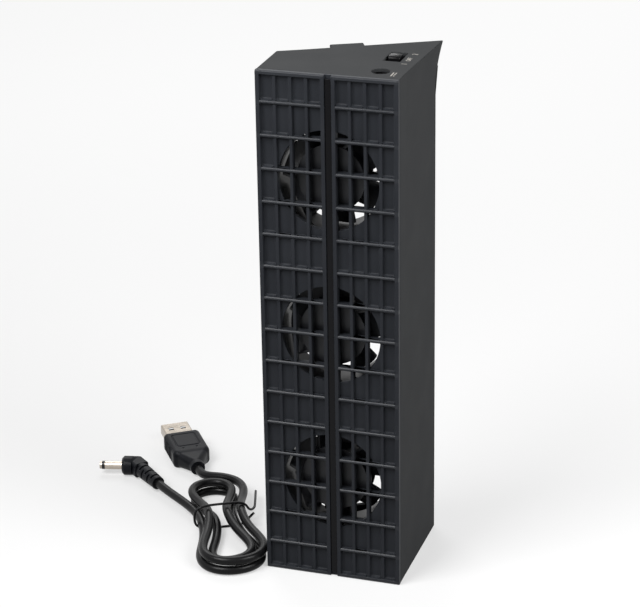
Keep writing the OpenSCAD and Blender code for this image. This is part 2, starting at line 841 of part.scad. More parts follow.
// The steel cover that keeps the slider in its case.
module switch_cover() {
    length = knob_l + 2 * (knob_travel + move_gap);
    color("#b4b6b9") from_front() translate([switch_x, switch_y, board_z + case_h]) difference() {
        translate([-case_w / 2, -case_l / 2, 0]) cube([case_w, case_l, cover_t]);
        translate([-knob_w / 2 - fit_gap, -length / 2, -over]) cube([knob_w + 2 * fit_gap, length, case_h]);
    }
}

// The switch knob: a slider in the case and a stem through the end wall, with a ridged top.
module switch_knob() {
    base = board_z + channel_floor + fit_gap;
    height = body_h + knob_proud - base;
    color("#0f1012") from_front() translate([switch_x, switch_y, base]) difference() {
        union() {
            translate([-slider_w / 2, -slider_l / 2, 0]) cube([slider_w, slider_l, slider_h]);
            translate([-knob_w / 2, -knob_l / 2, 0]) cube([knob_w, knob_l, height]);
        }
        for (k = [-1:1])
            translate([-knob_w / 2 - over, k * ridge_pitch - ridge_w / 2, height - ridge_depth])
                cube([knob_w + 2 * over, ridge_w, over]);
    }
}

// The pins of the jack and the switch, through the control board.
module switch_terminals() {
    color("#c9c7bf") from_front() for (p = terminals())
        translate([p[0] - pin_a / 2, p[1] - pin_b / 2, board_z - pin_l])
            cube([pin_a, pin_b, pin_l - press_gap]);
}

// The three two-pin connectors under the control board.
module fan_headers() {
    color("#e6e2d6") from_front() for (y = header_y)
        translate([header_x, y, board_z - board_t - header_h]) difference() {
            translate([-header_w / 2, -header_l / 2, 0]) cube([header_w, header_l, header_h - press_gap]);
            for (side = [-1, 1]) translate([side * lead_gap / 2, 0, -over])
                cylinder(r = lead_r + fit_gap, h = header_hole_l + over);
        }
}

// Route of one lead of fan k: along an arm, up the gap beside the frames, back and up to its connector.
// A pair lies one behind the other, then one above the other, then side by side.
function lead_route(k, side) = let (
    s = side * lead_gap / 2,
    z = fan_z[k],
    edge = fan_size / 2,
    y0 = fan_y + fan_t + lead_r + fit_gap + lead_gap / 2,
    y1 = lead_y[k],
    y2 = header_y[k],
    climb = lead_turn + lead_climb * (y0 - y1),
    level = lead_top[k],
    cut = 0.3 * lead_turn,
    top = board_z - board_t - header_h
) [
    [hub_d / 2 + over, y0 + s, z],
    [edge - lead_turn, y0 + s, z],
    [edge + cut, y0 + s, z + cut],
    [lead_x - cut / 3, y0 + s - cut / 3, z + lead_turn],
    [lead_x, (y0 + y1) / 2 + s, z + (lead_turn + climb) / 2],
    [lead_x, y1 + s, z + climb],
    [lead_x, y1 + s, level - lead_turn],
    [lead_x, y1 + cut + 0.7 * s, level - cut - 0.7 * s],
    [lead_x, y1 + lead_turn, level - s],
    [lead_x, y2 - lead_turn, level - s],
    [lead_x - cut, y2 - cut, level - s],
    [lead_x - lead_turn, y2, level - s],
    [header_x + lead_turn, y2, level - s],
    [header_x + cut - 0.7 * s, y2, level + cut - 0.7 * s],
    [header_x - s, y2, level + lead_turn],
    [header_x - s, y2, top + header_hole_l - fit_gap]
];

// The leads of one colour, one from each fan.
module leads(side) {
    from_front() for (k = [0:2]) tube(lead_route(k, side), lead_r, 8, lead_ref);
}

module fan_leads_red() {
    color("#a32a24") leads(1);
}

module fan_leads_black() {
    color("#1a1a1b") leads(-1);
}

// Frame of the hank: x from its lower end towards the plugs, y to the left, z up.
module in_hank() {
    translate([hank_at[0], hank_at[1], 0]) rotate([0, 0, hank_turn]) children();
}

// Frame of the USB plug: x from the cable towards the tip, at the middle of the moulding.
module in_usb() {
    in_hank() translate([usb_tail[0], -usb_tail[1], usb_z]) rotate([0, 0, -usb_turn]) children();
}

// Frame of the power plug: x from the cable towards the elbow, at the middle of the collar.
module in_dc() {
    in_hank() translate([dc_tail[0], -dc_tail[1], dc_z]) rotate([0, 0, -dc_turn]) children();
}

// A block along X with round edges, centred on the axis.
module round_bar(x0, x1, w, h, r) {
    hull() for (y = [-1, 1], z = [-1, 1])
        translate([0, y * (w / 2 - r), z * (h / 2 - r)]) rod_x(2 * r, x0, x1, $fn = 32);
}

// The USB plug's moulding: a grip and a tail that tapers to the cable.
module usb_moulding() {
    x1 = usb_tail_l + usb_grip_l;
    color("#19191b") in_usb() difference() {
        union() {
            round_bar(usb_tail_l, x1, usb_grip_w, usb_grip_h, usb_round);
            hull() {
                rod_x(cable_d + 2 * usb_tail_wall, 0, over, $fn = 32);
                translate([usb_tail_l, 0, 0]) cube(
                    [over, usb_grip_w - 2 * usb_tail_in[0], usb_grip_h - 2 * usb_tail_in[1]],
                    center = true
                );
            }
        }
        translate([x1 - usb_set_in - fit_gap, -usb_w / 2 - fit_gap, -usb_h / 2 - fit_gap])
            cube([usb_set_in + over, usb_w + 2 * fit_gap, usb_h + 2 * fit_gap]);
    }
}

// The USB plug's folded steel shell, with two latch windows on each broad side.
module usb_shell() {
    x0 = usb_tail_l + usb_grip_l - usb_set_in;
    x1 = usb_tail_l + usb_grip_l + usb_l;
    color("#c2beb4") in_usb() difference() {
        along_x(x0, x1) round_rect(usb_w, usb_h, usb_fold);
        along_x(x0 - over, x1 + over)
            round_rect(usb_w - 2 * usb_shell_t, usb_h - 2 * usb_shell_t, usb_fold - usb_shell_t);
        for (y = [-1, 1])
            translate([x1 - latch_from_tip - latch_l, y * latch_pitch / 2 - latch_w / 2, -usb_h])
                cube([latch_l, latch_w, 2 * usb_h]);
    }
}

// The plastic tongue inside the USB shell.
module usb_tongue() {
    x0 = usb_tail_l + usb_grip_l - usb_set_in + seat_gap;
    half = usb_w / 2 - usb_shell_t - tongue_gap;
    color("#17171a") in_usb() along_x(x0, x0 + usb_set_in + usb_l - tongue_short)
        translate([0, tongue_z + tongue_h / 2]) round_rect(2 * half, tongue_h, usb_fold - usb_shell_t);
}

// The four contacts on the tongue, the outer two longer.
module usb_contacts() {
    x0 = usb_tail_l + usb_grip_l;
    color("#d8b25c") in_usb() for (p = contact_at)
        translate([x0, p[0] - contact_w / 2, tongue_z + tongue_h])
            cube([usb_l - contact_short - p[1], contact_w, contact_t]);
}

// All that lies before the elbow's mitre, a little past it, or all that lies behind it.
module mitre(side, past) {
    translate([elbow_x, 0, 0]) rotate([0, 0, plug_bend / 2])
        translate([side * (elbow_room / 2 - past), 0, 0]) cube(elbow_room, center = true);
}

// The power plug's moulding: ribbed strain relief, a square neck cut on the mitre, and a round collar.
module dc_plug_body() {
    color("#1a1a1c") in_dc() {
        rod_x(2 * relief_core_r, 0, elbow_x - neck_l / 2);
        for (k = [0:relief_ribs - 1])
            translate([relief_start + k * relief_pitch, 0, 0]) rod_x(2 * relief_rib_r, 0, relief_rib_l);
        intersection() {
            along_x(elbow_x - neck_l, elbow_x + neck_d) round_rect(neck_d, neck_d, neck_round);
            mitre(-1, mitre_past);
        }
        intersection() {
            translate([elbow_x, 0, 0]) rotate([0, 0, plug_bend]) rotate([0, 90, 0])
                rotate_extrude() polygon([
                    [0, -collar_d],
                    [collar_d / 2, -collar_d],
                    [collar_d / 2, collar_l - collar_chamfer],
                    [collar_d / 2 - collar_chamfer, collar_l],
                    [0, collar_l]
                ]);
            mitre(1, 0);
        }
    }
}

// Frame of the power plug's barrel: x from the collar's face to the tip.
module in_barrel() {
    in_dc() translate([elbow_x, 0, 0]) rotate([0, 0, plug_bend]) translate([collar_l, 0, 0]) children();
}

// The barrel: a nickel-plated sleeve.
module dc_plug_barrel() {
    color("#c6c2b6") in_barrel() difference() {
        rod_x(barrel_d, 0, ring_x);
        rod_x(barrel_d - 2 * barrel_t, -over, barrel_l);
    }
}

// The black insulator that lines the barrel and shows as a ring behind its tip.
module dc_plug_insulator() {
    outer = barrel_d - 2 * (barrel_t + plug_gap);
    color("#121213") in_barrel() difference() {
        union() {
            rod_x(outer, 0, barrel_l - tip_l);
            rod_x(barrel_d, ring_x, barrel_l - tip_l);
        }
        rod_x(outer - 2 * lining_t, -over, barrel_l + over);
    }
}

// The inner contact of the power plug: a thin sleeve with a flange that is the plug's tip.
module dc_plug_contact() {
    color("#c8a660") in_barrel() difference() {
        union() {
            rod_x(barrel_d - 2 * (barrel_t + lining_t + 2 * plug_gap), 0, barrel_l);
            rod_x(tip_d, barrel_l - tip_l, barrel_l);
        }
        rod_x(jack_pin_d + 2 * plug_gap, -over, barrel_l + over);
    }
}

// The hank's base loop: a waist at the tie, a wide lobe below and a narrow one above.
function loop_at(t) = let (
    s = sin(360 * t),
    reach = s > 0 ? lobe_low : lobe_up,
    swell = s > 0 ? swell_low : swell_up
) [waist_u - reach * s, cos(360 * t) * (waist_half + swell * s * s)];

// A bell that is 1 at the waist and fades over a run.
function at_waist(u, run) = exp(-pow((u - waist_u) / run, 2));

// A smooth step from 0 to 1.
function ease(x) = let (c = min(max(x, 0), 1)) c * c * (3 - 2 * c);

// One point of the hank: the base loop moved out by the spiral's step, lifted by its layer and the tie.
function hank_at_turn(t) = let (
    p = loop_at(t),
    d = loop_at(t + 0.001) - loop_at(t - 0.001),
    n = [d[1], -d[0]] / norm(d),
    out = turn_step * abs(t - turn_back) * (1 + waist_wide * at_waist(p[0], waist_run)),
    q = p + n * out
) [
    q[0],
    q[1],
    cable_d / 2 + floor_gap + layer_step * ease((t - turn_back + 0.25) / 0.5)
        + tie_lift * at_waist(q[0], tie_run)
];

// The whole cable: out of the power plug, round the hank, and into the USB plug.
function cable_route() = let (
    loops = [for (i = [0:rings * turns + 0.01]) hank_at_turn(i / rings)],
    first = loops[0],
    last = loops[len(loops) - 1],
    heading = last - loops[len(loops) - 2],
    go = heading / norm(heading),
    dc1 = concat(-dir(-dc_turn), [0]),
    dc0 = [dc_tail[0], -dc_tail[1], dc_z] + press_gap * dc1,
    usb1 = concat(-dir(-usb_turn), [0]),
    usb0 = [usb_tail[0], -usb_tail[1], usb_z] + press_gap * usb1,
    dc_straight = dc0 + cable_d * dc1,
    usb_straight = usb0 + cable_d * usb1,
    lead_in = curve([dc_straight, dc_straight + pull_in * dc1, first + [pull_in, 0, 0], first], 8),
    lead_out = curve([last, last + pull_out * go, usb_straight + pull_out * usb1, usb_straight], 6)
) concat(
    [dc0],
    [for (i = [0:7]) lead_in[i]],
    loops,
    [for (i = [1:6]) lead_out[i]],
    [usb0]
);

// Length of a path, and the least gap between stretches of it that are not neighbours.
function path_length(p) = len(p) < 2 ? 0 : sum_of([for (i = [1:len(p) - 1]) norm(p[i] - p[i - 1])]);
function sum_of(list) = list * [for (i = list) 1];
function finer(p) = [for (i = [0:len(p) - 2], s = [0:0.2:0.8]) p[i] + s * (p[i + 1] - p[i])];
function least_gap(p, skip, d) = min([
    for (i = [0:len(p) - 1 - skip], j = [i + skip:len(p) - 1]) norm(p[i] - p[j])
]) - d;

// The cable in its hank.
module power_cable() {
    color("#18181a") in_hank() tube(cable_route(), cable_d / 2, 6, [0, 0, 1]);
}

// One point of the tie's loop: a rounded rectangle across the hank, stepping along it.
function tie_at(a) = let (c = cos(a), s = sin(a)) [
    waist_u + tie_pitch * (a - 360) / 360,
    sign(c) * sqrt(abs(c)) * tie_half,
    tie_mid + sign(s) * sqrt(abs(s)) * tie_rise
];

// The tie's wire: a short end, one turn round the bundle, and a long end that lies beside the hank.
function tie_route() = concat(
    [[waist_u - 2.6, -tie_half - 1.8, tie_mid + 0.9]],
    [for (a = [190:15:535]) tie_at(a)],
    [
        [waist_u + 2, -tie_half - 1.6, tie_mid - 0.1],
        [waist_u + 4.5, -tie_half - 3.4, tie_mid - 0.3],
        [waist_u + 12.5, -tie_half - 5, tie_mid - 0.9],
        [waist_u + 21, -tie_half - 6.6, tie_mid - 1.6]
    ]
);

// The twist tie round the waist of the hank.
module cable_tie() {
    color("#161617") in_hank() tube(tie_route(), tie_d / 2, 6, tie_ref);
}

echo(cable_length_mm = path_length(cable_route()));
echo(cable_least_gap_mm = least_gap(finer(cable_route()), gap_skip, cable_d));
echo(tie_least_gap_mm = least_gap(finer(tie_route()), gap_skip, tie_d));

front_grille();
centre_trim();
housing();
rear_frame();
fan_frame(0);  // fan_frame_1
fan_frame(1);  // fan_frame_2
fan_frame(2);  // fan_frame_3
rotor(0);  // rotor_1
rotor(1);  // rotor_2
rotor(2);  // rotor_3
magnet(0);  // magnet_1
magnet(1);  // magnet_2
magnet(2);  // magnet_3
shaft(0);  // shaft_1
shaft(1);  // shaft_2
shaft(2);  // shaft_3
bearing(0);  // bearing_1
bearing(1);  // bearing_2
bearing(2);  // bearing_3
stator(0);  // stator_1
stator(1);  // stator_2
stator(2);  // stator_3
windings(0);  // windings_1
windings(1);  // windings_2
windings(2);  // windings_3
fan_board(0);  // fan_board_1
fan_board(1);  // fan_board_2
fan_board(2);  // fan_board_3
fan_screws();
control_board();
board_screws();
dc_jack();
dc_jack_pin();
dc_jack_spring();
switch_case();
switch_cover();
switch_knob();
switch_terminals();
fan_headers();
fan_leads_red();
fan_leads_black();
case_screws();
usb_moulding();
usb_shell();
usb_tongue();
usb_contacts();
dc_plug_body();
dc_plug_barrel();
dc_plug_insulator();
dc_plug_contact();
power_cable();
cable_tie();
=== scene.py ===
"""A clip-on cooling fan for the back of a game console, with its short power cable beside it."""

import json
import math

import bmesh
import bpy
import numpy as np
from mathutils import Matrix, Vector

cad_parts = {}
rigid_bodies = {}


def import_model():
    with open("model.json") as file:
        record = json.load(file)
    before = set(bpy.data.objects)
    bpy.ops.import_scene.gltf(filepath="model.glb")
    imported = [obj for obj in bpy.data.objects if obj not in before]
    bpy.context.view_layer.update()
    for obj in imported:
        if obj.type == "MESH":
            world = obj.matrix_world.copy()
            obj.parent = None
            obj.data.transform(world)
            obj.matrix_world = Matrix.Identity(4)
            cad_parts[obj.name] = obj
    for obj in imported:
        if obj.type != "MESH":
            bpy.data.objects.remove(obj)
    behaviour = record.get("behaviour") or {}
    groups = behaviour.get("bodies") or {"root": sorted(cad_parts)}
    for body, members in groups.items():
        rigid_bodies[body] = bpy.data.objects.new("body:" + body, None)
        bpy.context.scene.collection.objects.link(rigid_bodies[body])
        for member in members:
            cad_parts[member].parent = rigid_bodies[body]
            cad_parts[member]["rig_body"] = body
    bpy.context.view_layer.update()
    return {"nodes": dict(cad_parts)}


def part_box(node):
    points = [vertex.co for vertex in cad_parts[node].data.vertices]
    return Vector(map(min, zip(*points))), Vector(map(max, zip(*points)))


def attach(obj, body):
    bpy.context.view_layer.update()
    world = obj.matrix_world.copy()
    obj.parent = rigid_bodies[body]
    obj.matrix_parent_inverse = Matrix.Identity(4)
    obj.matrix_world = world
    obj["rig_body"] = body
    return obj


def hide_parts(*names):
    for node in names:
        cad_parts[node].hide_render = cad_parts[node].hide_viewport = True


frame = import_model()

# Camera
# A long lens about 0.9 m away, to the right of the front panel and above it, looking down by 23 degrees,
# so that the panel, the top end and the thick side all show.
scene = bpy.context.scene
lens = bpy.data.cameras.new("lens")
lens.sensor_fit = "HORIZONTAL"
lens.sensor_width = 36.0
lens.lens = 132.7
camera = bpy.data.objects.new("camera", lens)
scene.collection.objects.link(camera)
camera_place = (0.24519, -0.77477, 0.44498)
camera_yaw, camera_pitch, camera_roll = 18.2, 22.65, -0.93
camera.matrix_world = (
    Matrix.Translation(camera_place)
    @ Matrix.Rotation(math.radians(camera_yaw), 4, "Z")
    @ Matrix.Rotation(math.radians(90 - camera_pitch), 4, "X")
    @ Matrix.Rotation(math.radians(camera_roll), 4, "Z")
)
scene.camera = camera

# Power cable
# A round two-core cable with a soft PVC jacket, 3.5 mm across and about 0.49 m long. It is folded into a
# hank of flat loops with a narrow waist, and each end runs straight out of a moulded plug.
MM = 0.001
cable_d = 3.5
hank_place, hank_turn = (-36.3, -26.5, 0.0), 119.0
hank_turns, turn_back, turn_step, layer_step = 65 / 24, 1.25, 4.7, 4.0
waist_u, waist_half, waist_wide, waist_run = 37.3, 0.9, 0.2, 14.0
lobe_low, lobe_up, swell_low, swell_up = 34.0, 27.0, 17.5, 13.6
tie_lift, tie_run, floor_gap = 1.75, 9.0, 0.1
usb_place, usb_turn = np.array([84.0, 2.5, 4.0]), 6.0
dc_place, dc_turn = np.array([74.0, 20.5, 4.0]), 20.0
pull_in, pull_out, climb_turns, nudge = 12.0, 6.0, 0.5, 0.001
loop_points, in_points, out_points, cable_step, cable_ease, cable_sides = 260, 60, 30, 1.0, 2, 28


def linear(code):
    """Linear RGBA of an sRGB hex colour: c / 12.92 below 0.04045, else ((c + 0.055) / 1.055) ^ 2.4."""
    c = np.array([int(code[i:i + 2], 16) for i in (1, 3, 5)]) / 255
    return (*np.where(c <= 0.04045, c / 12.92, ((c + 0.055) / 1.055) ** 2.4).tolist(), 1.0)


def add(tree, kind, inputs=(), **settings):
    """Adds one node: its own settings, and for each input a value or the output socket that feeds it."""
    node = tree.nodes.new(kind)
    for key, value in settings.items():
        setattr(node, key, value)
    for key, value in dict(inputs).items():
        if isinstance(value, bpy.types.NodeSocket):
            tree.links.new(value, node.inputs[key])
        else:
            node.inputs[key].default_value = value
    return node


def moulded(name, dark, light, rough, grain, depth, patch, shine=0.5, metal=0.0):
    """A surface as its mould or its rolls left it. Noise of the grain's width, in mm, gives a bump of
    that depth, and noise of the patch's width drifts between two colours and two roughnesses. The shine
    is the mirror part of a plastic, 0.5 when it is smooth and less when pores trap the light."""
    material = bpy.data.materials.new(name)
    material.use_nodes = True
    tree = material.node_tree
    tree.nodes.clear()
    spot = add(tree, "ShaderNodeTexCoord").outputs["Object"]
    drift = add(tree, "ShaderNodeTexNoise", {"Vector": spot, "Scale": 1 / (patch * MM), "Detail": 4.0})
    fine = add(tree, "ShaderNodeTexNoise", {"Vector": spot, "Scale": 1 / (grain * MM), "Detail": 3.0})
    spread = add(tree, "ShaderNodeMapRange", {
        "Value": drift.outputs["Fac"], "From Min": 0.3, "From Max": 0.7,
    }).outputs["Result"]
    colour = add(tree, "ShaderNodeMix", {0: spread, 6: linear(dark), 7: linear(light)}, data_type="RGBA")
    gloss = add(tree, "ShaderNodeMapRange", {"Value": spread, "To Min": rough[0], "To Max": rough[1]})
    bump = add(tree, "ShaderNodeBump", {
        "Height": fine.outputs["Fac"], "Strength": 1.0, "Distance": depth * MM,
    })
    body = add(tree, "ShaderNodeBsdfPrincipled", {
        "Base Color": colour.outputs[2], "Roughness": gloss.outputs["Result"],
        "Normal": bump.outputs["Normal"], "Specular IOR Level": shine, "Metallic": metal,
    })
    add(tree, "ShaderNodeOutputMaterial", {"Surface": body.outputs["BSDF"]})
    return material


def surface(name, grids, finish, crease=35.0):
    """Closed skins over grids of points in mm, rows along the piece and columns round it: four-sided
    faces between neighbours and one flat face over each end. Edges over the crease angle stay sharp."""
    points, faces, start = [], [], 0
    for grid in grids:
        index = start + np.arange(grid.shape[0] * grid.shape[1]).reshape(grid.shape[:2])
        here, ahead = index[:-1], index[1:]
        quads = np.stack([here, np.roll(here, -1, 1), np.roll(ahead, -1, 1), ahead], -1)
        faces += quads.reshape(-1, 4).tolist() + [index[0, ::-1].tolist(), index[-1].tolist()]
        points.append(grid.reshape(-1, 3))
        start += index.size
    mesh = bpy.data.meshes.new(name)
    mesh.from_pydata((np.concatenate(points) * MM).tolist(), [], faces)
    solid = bmesh.new()
    solid.from_mesh(mesh)
    bmesh.ops.recalc_face_normals(solid, faces=solid.faces)
    solid.to_mesh(mesh)
    solid.free()
    mesh.shade_smooth()
    mesh.set_sharp_from_angle(angle=math.radians(crease))
    mesh.materials.append(finish)
    piece = bpy.data.objects.new(name, mesh)
    scene.collection.objects.link(piece)
    return piece


def tube(path, radius, sides, ref):
    """Rings of a round cord: path + radius * (cos a * n + sin a * b), where n is square to the path and
    to a fixed direction, and b is square to both."""
    along = np.gradient(path, axis=0)
    along /= np.linalg.norm(along, axis=1, keepdims=True)
    n = np.cross(ref, along)
    n /= np.linalg.norm(n, axis=1, keepdims=True)
    b = np.cross(along, n)
    a = np.linspace(0, 2 * np.pi, sides, endpoint=False)[None, :, None]
    return path[:, None] + radius * (np.cos(a) * n[:, None] + np.sin(a) * b[:, None])


def evenly(path, step):
    """The same path with points at even lengths, by linear interpolation along its running length."""
    run = np.concatenate([[0], np.cumsum(np.linalg.norm(np.diff(path, axis=0), axis=1))])
    at = np.linspace(0, run[-1], int(round(run[-1] / step)) + 1)
    return np.stack([np.interp(at, run, path[:, k]) for k in range(3)], 1)


def eased(path, spread):
    """A path with its corners eased: each point is the mean of its neighbours under a bell of that
    spread, in points, and the ends are carried on by reflection so that they stay where they are."""
    reach = 3 * spread
    bell = np.exp(-0.5 * (np.arange(-reach, reach + 1) / spread) ** 2)
    before = 2 * path[0] - path[reach:0:-1]
    after = 2 * path[-1] - path[-2:-reach - 2:-1]
    long = np.concatenate([before, path, after])
    return np.stack([np.convolve(long[:, k], bell / bell.sum(), "valid") for k in range(3)], 1)


def placed(points, at, turn):
    """Points turned about the upright axis by an angle in degrees, then moved to a place."""
    c, s = math.cos(math.radians(turn)), math.sin(math.radians(turn))
    return points @ np.array([[c, s, 0], [-s, c, 0], [0, 0, 1]]) + np.array(at)


def in_hank(points):
    """Points of the hank's own frame: x from its lower end towards the plugs, y to the left, z up."""
    return placed(points, hank_place, hank_turn)


def heading(turn):
    """The level direction at an angle in degrees."""
    return np.array([math.cos(math.radians(turn)), math.sin(math.radians(turn)), 0.0])


def cubic(p, count):
    """Points of a cubic curve from four control points: the sum of binomial terms times the points."""
    s = np.linspace(0, 1, count)[:, None]
    return (1 - s) ** 3 * p[0] + 3 * (1 - s) ** 2 * s * p[1] + 3 * (1 - s) * s * s * p[2] + s ** 3 * p[3]


def hank_loop(t):
    """The flat base loop at turn t: u = waist - reach * sin, v = cos * (half waist + swell * sin^2)."""
    s = np.sin(2 * np.pi * t)
    reach, swell = np.where(s > 0, lobe_low, lobe_up), np.where(s > 0, swell_low, swell_up)
    return np.stack([waist_u - reach * s, np.cos(2 * np.pi * t) * (waist_half + swell * s * s)], 1)


def hank_path(t):
    """The hank at turn t: the base loop moved out along its normal by a step for each turn, and raised
    by a layer on the way back and by a bell under the tie."""
    p, d = hank_loop(t), hank_loop(t + nudge) - hank_loop(t - nudge)
    n = np.stack([d[:, 1], -d[:, 0]], 1) / np.linalg.norm(d, axis=1, keepdims=True)
    wide = 1 + waist_wide * np.exp(-(((p[:, :1] - waist_u) / waist_run) ** 2))
    q = p + n * turn_step * np.abs(t[:, None] - turn_back) * wide
    s = np.clip((t - turn_back + climb_turns / 2) / climb_turns, 0, 1)
    z = cable_d / 2 + floor_gap + layer_step * s * s * (3 - 2 * s)
    return np.column_stack([q, z + tie_lift * np.exp(-(((q[:, 0] - waist_u) / tie_run) ** 2))])


loops = hank_path(np.linspace(0, hank_turns, loop_points))
leaving = loops[-1] - loops[-2]
leaving /= np.linalg.norm(leaving)
dc_way, usb_way = heading(dc_turn), heading(usb_turn)
dc_start, usb_end = dc_place - cable_d * dc_way, usb_place - cable_d * usb_way
lead_in = cubic([dc_start, dc_start - pull_in * dc_way, loops[0] + [pull_in, 0, 0], loops[0]], in_points)
lead_out = cubic(
    [loops[-1], loops[-1] + pull_out * leaving, usb_end - pull_out * usb_way, usb_end], out_points,
)
route = np.concatenate([[dc_place], lead_in, loops[1:], lead_out[1:], [usb_place]])
cable_path = in_hank(eased(evenly(route, cable_step), cable_ease))
# Black PVC, extruded: a smooth satin skin whose long streaks of light run along the cable.
jacket = moulded("black_pvc_jacket", "#0b0b0c", "#111112", (0.26, 0.34), 1.4, 0.004, 9.0, 0.13)
cable = surface("cable", [tube(cable_path, cable_d / 2, cable_sides, (0, 0, 1))], jacket)
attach(cable, "root")
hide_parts("power_cable")

# Twist tie
# A soft wire in a thin black plastic coat, wound once round the waist of the hank and twisted on one
# side, with a long free end that lies beside the cable.
tie_d, tie_pitch, tie_room = 1.0, 1.7, 1.15
tie_start, tie_end, tie_degrees = 190, 536, 5.0
tie_step, tie_ease, tie_sides, tie_ref = 0.4, 3, 14, (-0.52, 0.74, 0.42)
tie_half = turn_step * turn_back * (1 + waist_wide) + waist_half + cable_d / 2 + tie_room
tie_rise = (cable_d + layer_step) / 2 + tie_room
tie_mid = cable_d / 2 + floor_gap + tie_lift + layer_step / 2
tie_a = np.radians(np.arange(tie_start, tie_end, tie_degrees))
tie_c, tie_s = np.cos(tie_a), np.sin(tie_a)
tie_loop = np.stack([
    waist_u + tie_pitch * (tie_a / (2 * np.pi) - 1),
    np.sign(tie_c) * np.sqrt(np.abs(tie_c)) * tie_half,
    tie_mid + np.sign(tie_s) * np.sqrt(np.abs(tie_s)) * tie_rise,
], 1)
tie_from = np.array([[-2.6, -1.8, 0.9]]) + [waist_u, -tie_half, tie_mid]
tie_to = np.array([
    [2.0, -1.6, -0.1], [4.5, -3.4, -0.3], [12.5, -5.0, -0.9], [21.0, -6.6, -1.6],
]) + [waist_u, -tie_half, tie_mid]
tie_path = eased(evenly(np.concatenate([tie_from, tie_loop, tie_to]), tie_step), tie_ease)
# Plastic-coated wire: a thin glossy black skin, slightly uneven from bending.
coat = moulded("coated_wire", "#0d0d0f", "#151517", (0.3, 0.42), 0.9, 0.01, 5.0, 0.16)
tie = surface("tie", [tube(in_hank(tie_path), tie_d / 2, tie_sides, tie_ref)], coat)
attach(tie, "root")
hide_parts("cable_tie")

# USB plug
# A black PVC grip moulded over a folded, nickel-plated steel shell. The grip has a sunk outline on its
# face, ribs on its sides and a tapered tail round the cable; a tongue with four contacts fills the shell.
grip_x = np.array([0, 2.6, 3.4, 9.2, 10.4, 11.2, 27.6, 28.5, 29.0])
grip_w = np.array([3.05, 3.05, 3.4, 6.4, 7.5, 7.85, 7.85, 7.6, 6.9])
grip_h = np.array([3.05, 3.05, 3.15, 3.4, 3.8, 4.0, 4.0, 3.85, 3.35])
grip_r = np.array([3.0, 3.0, 2.9, 2.0, 1.9, 1.9, 1.9, 1.8, 1.6])
slot_w, slot_h, slot_r, slot_x = 6.1, 2.35, 0.85, 23.2
panel_mid, panel_half, panel_r, panel_line, panel_depth = (20.4, 0.0), (5.6, 4.9), 1.2, 0.28, 0.32
pit_x, pit_y, pit_r, pit_depth = 12.9, 2.9, 0.5, 0.6
rib_from, rib_to, rib_pitch, rib_depth = 14.5, 26.5, 1.15, 0.3
grip_l, grip_step, grip_columns, face_from, line_fade, pit_fade = 29.0, 0.22, (46, 14, 7), 0.99, 1.6, 1.5
join_within, cut_within, flat_within, sharp_from = 0.001, 0.0001, 0.5, 30.0


def round_section(wide, high, corner):
    """A rounded rectangle as core points on a unit rectangle and outward directions, both per column:
    a section is core * (half size - radius) + direction * radius."""
    flat = np.linspace(1, -1, wide + 2)[1:-1]
    side = np.linspace(1, -1, high + 2)[1:-1]
    arc = np.linspace(0, np.pi / 2, corner)
    core, turn = [], []
    for quarter, (x, y) in enumerate(((1, 1), (-1, 1), (-1, -1), (1, -1))):
        core.append(np.tile([x, y], (corner, 1)))
        turn.append(arc + quarter * np.pi / 2)
        run = side if quarter % 2 else flat
        one = np.ones_like(run)
        edge = np.stack([-one, run] if quarter % 2 else [run, one], 1)
        core.append(edge if quarter < 2 else -edge)
        turn.append(np.full(len(run), (quarter + 1) * np.pi / 2))
    turn = np.concatenate(turn)
    return np.concatenate(core), np.stack([np.cos(turn), np.sin(turn)], 1)


def in_usb(points):
    """Points of the USB plug's frame: x from the cable to the tip, at the middle of the grip."""
    return in_hank(placed(points, usb_place, usb_turn))


def usb_grip_grid():
    """The grip: rounded rectangles along x, sunk where a line, pit or rib lies, then turned in at its
    face to the slot that holds the shell. A line's depth fades with the distance to its outline."""
    core, out = round_section(*grip_columns)
    x = np.append(np.arange(0, grip_l - grip_step / 2, grip_step), grip_l)
    w, h, r = (np.interp(x, grip_x, v)[:, None] for v in (grip_w, grip_h, grip_r))
    y = core[None, :, 0] * (w - r) + out[None, :, 0] * r
    z = core[None, :, 1] * (h - r) + out[None, :, 1] * r
    xx = np.broadcast_to(x[:, None], y.shape)
    away = np.maximum(np.stack([np.abs(xx - panel_mid[0]) - panel_half[0] + panel_r,
                                np.abs(y - panel_mid[1]) - panel_half[1] + panel_r]), 0)
    line = np.abs(np.hypot(away[0], away[1]) - panel_r)
    inside = np.maximum(away[0], away[1]) > 0
    top = np.abs(out[None, :, 1]) > face_from
    sink = panel_depth * np.clip(line_fade - line / panel_line, 0, 1) * inside * top
    pit = np.hypot(xx - pit_x, np.abs(y) - pit_y)
    sink = sink + pit_depth * np.clip(pit_fade - pit_fade * pit / pit_r, 0, 1) * top
    ribbed = (xx > rib_from) * (xx < rib_to) * np.clip(np.abs(out[None, :, 0]) * 2 - 1, 0, 1)
    sink = sink + rib_depth * ribbed * (0.5 + 0.5 * np.cos(2 * np.pi * (xx - rib_from) / rib_pitch))
    grid = np.stack([xx, y - sink * out[None, :, 0], z - sink * out[None, :, 1]], -1)
    slot = core * [slot_w - slot_r, slot_h - slot_r] + out * slot_r
    rings = [np.column_stack([np.full(len(slot), at), slot]) for at in (grip_l, slot_x)]
    return np.concatenate([grid, rings])


def merged(mesh, heights=()):
    """Joins a mesh's loose triangles and cuts them along level planes at heights in mm."""
    solid = bmesh.new()
    solid.from_mesh(mesh)
    bmesh.ops.remove_doubles(solid, verts=solid.verts, dist=join_within * MM)
    for z in heights:
        whole = solid.verts[:] + solid.edges[:] + solid.faces[:]
        bmesh.ops.bisect_plane(
            solid, geom=whole, dist=cut_within * MM, plane_co=(0, 0, z * MM), plane_no=(0, 0, 1),
        )
    solid.to_mesh(mesh)
    solid.free()


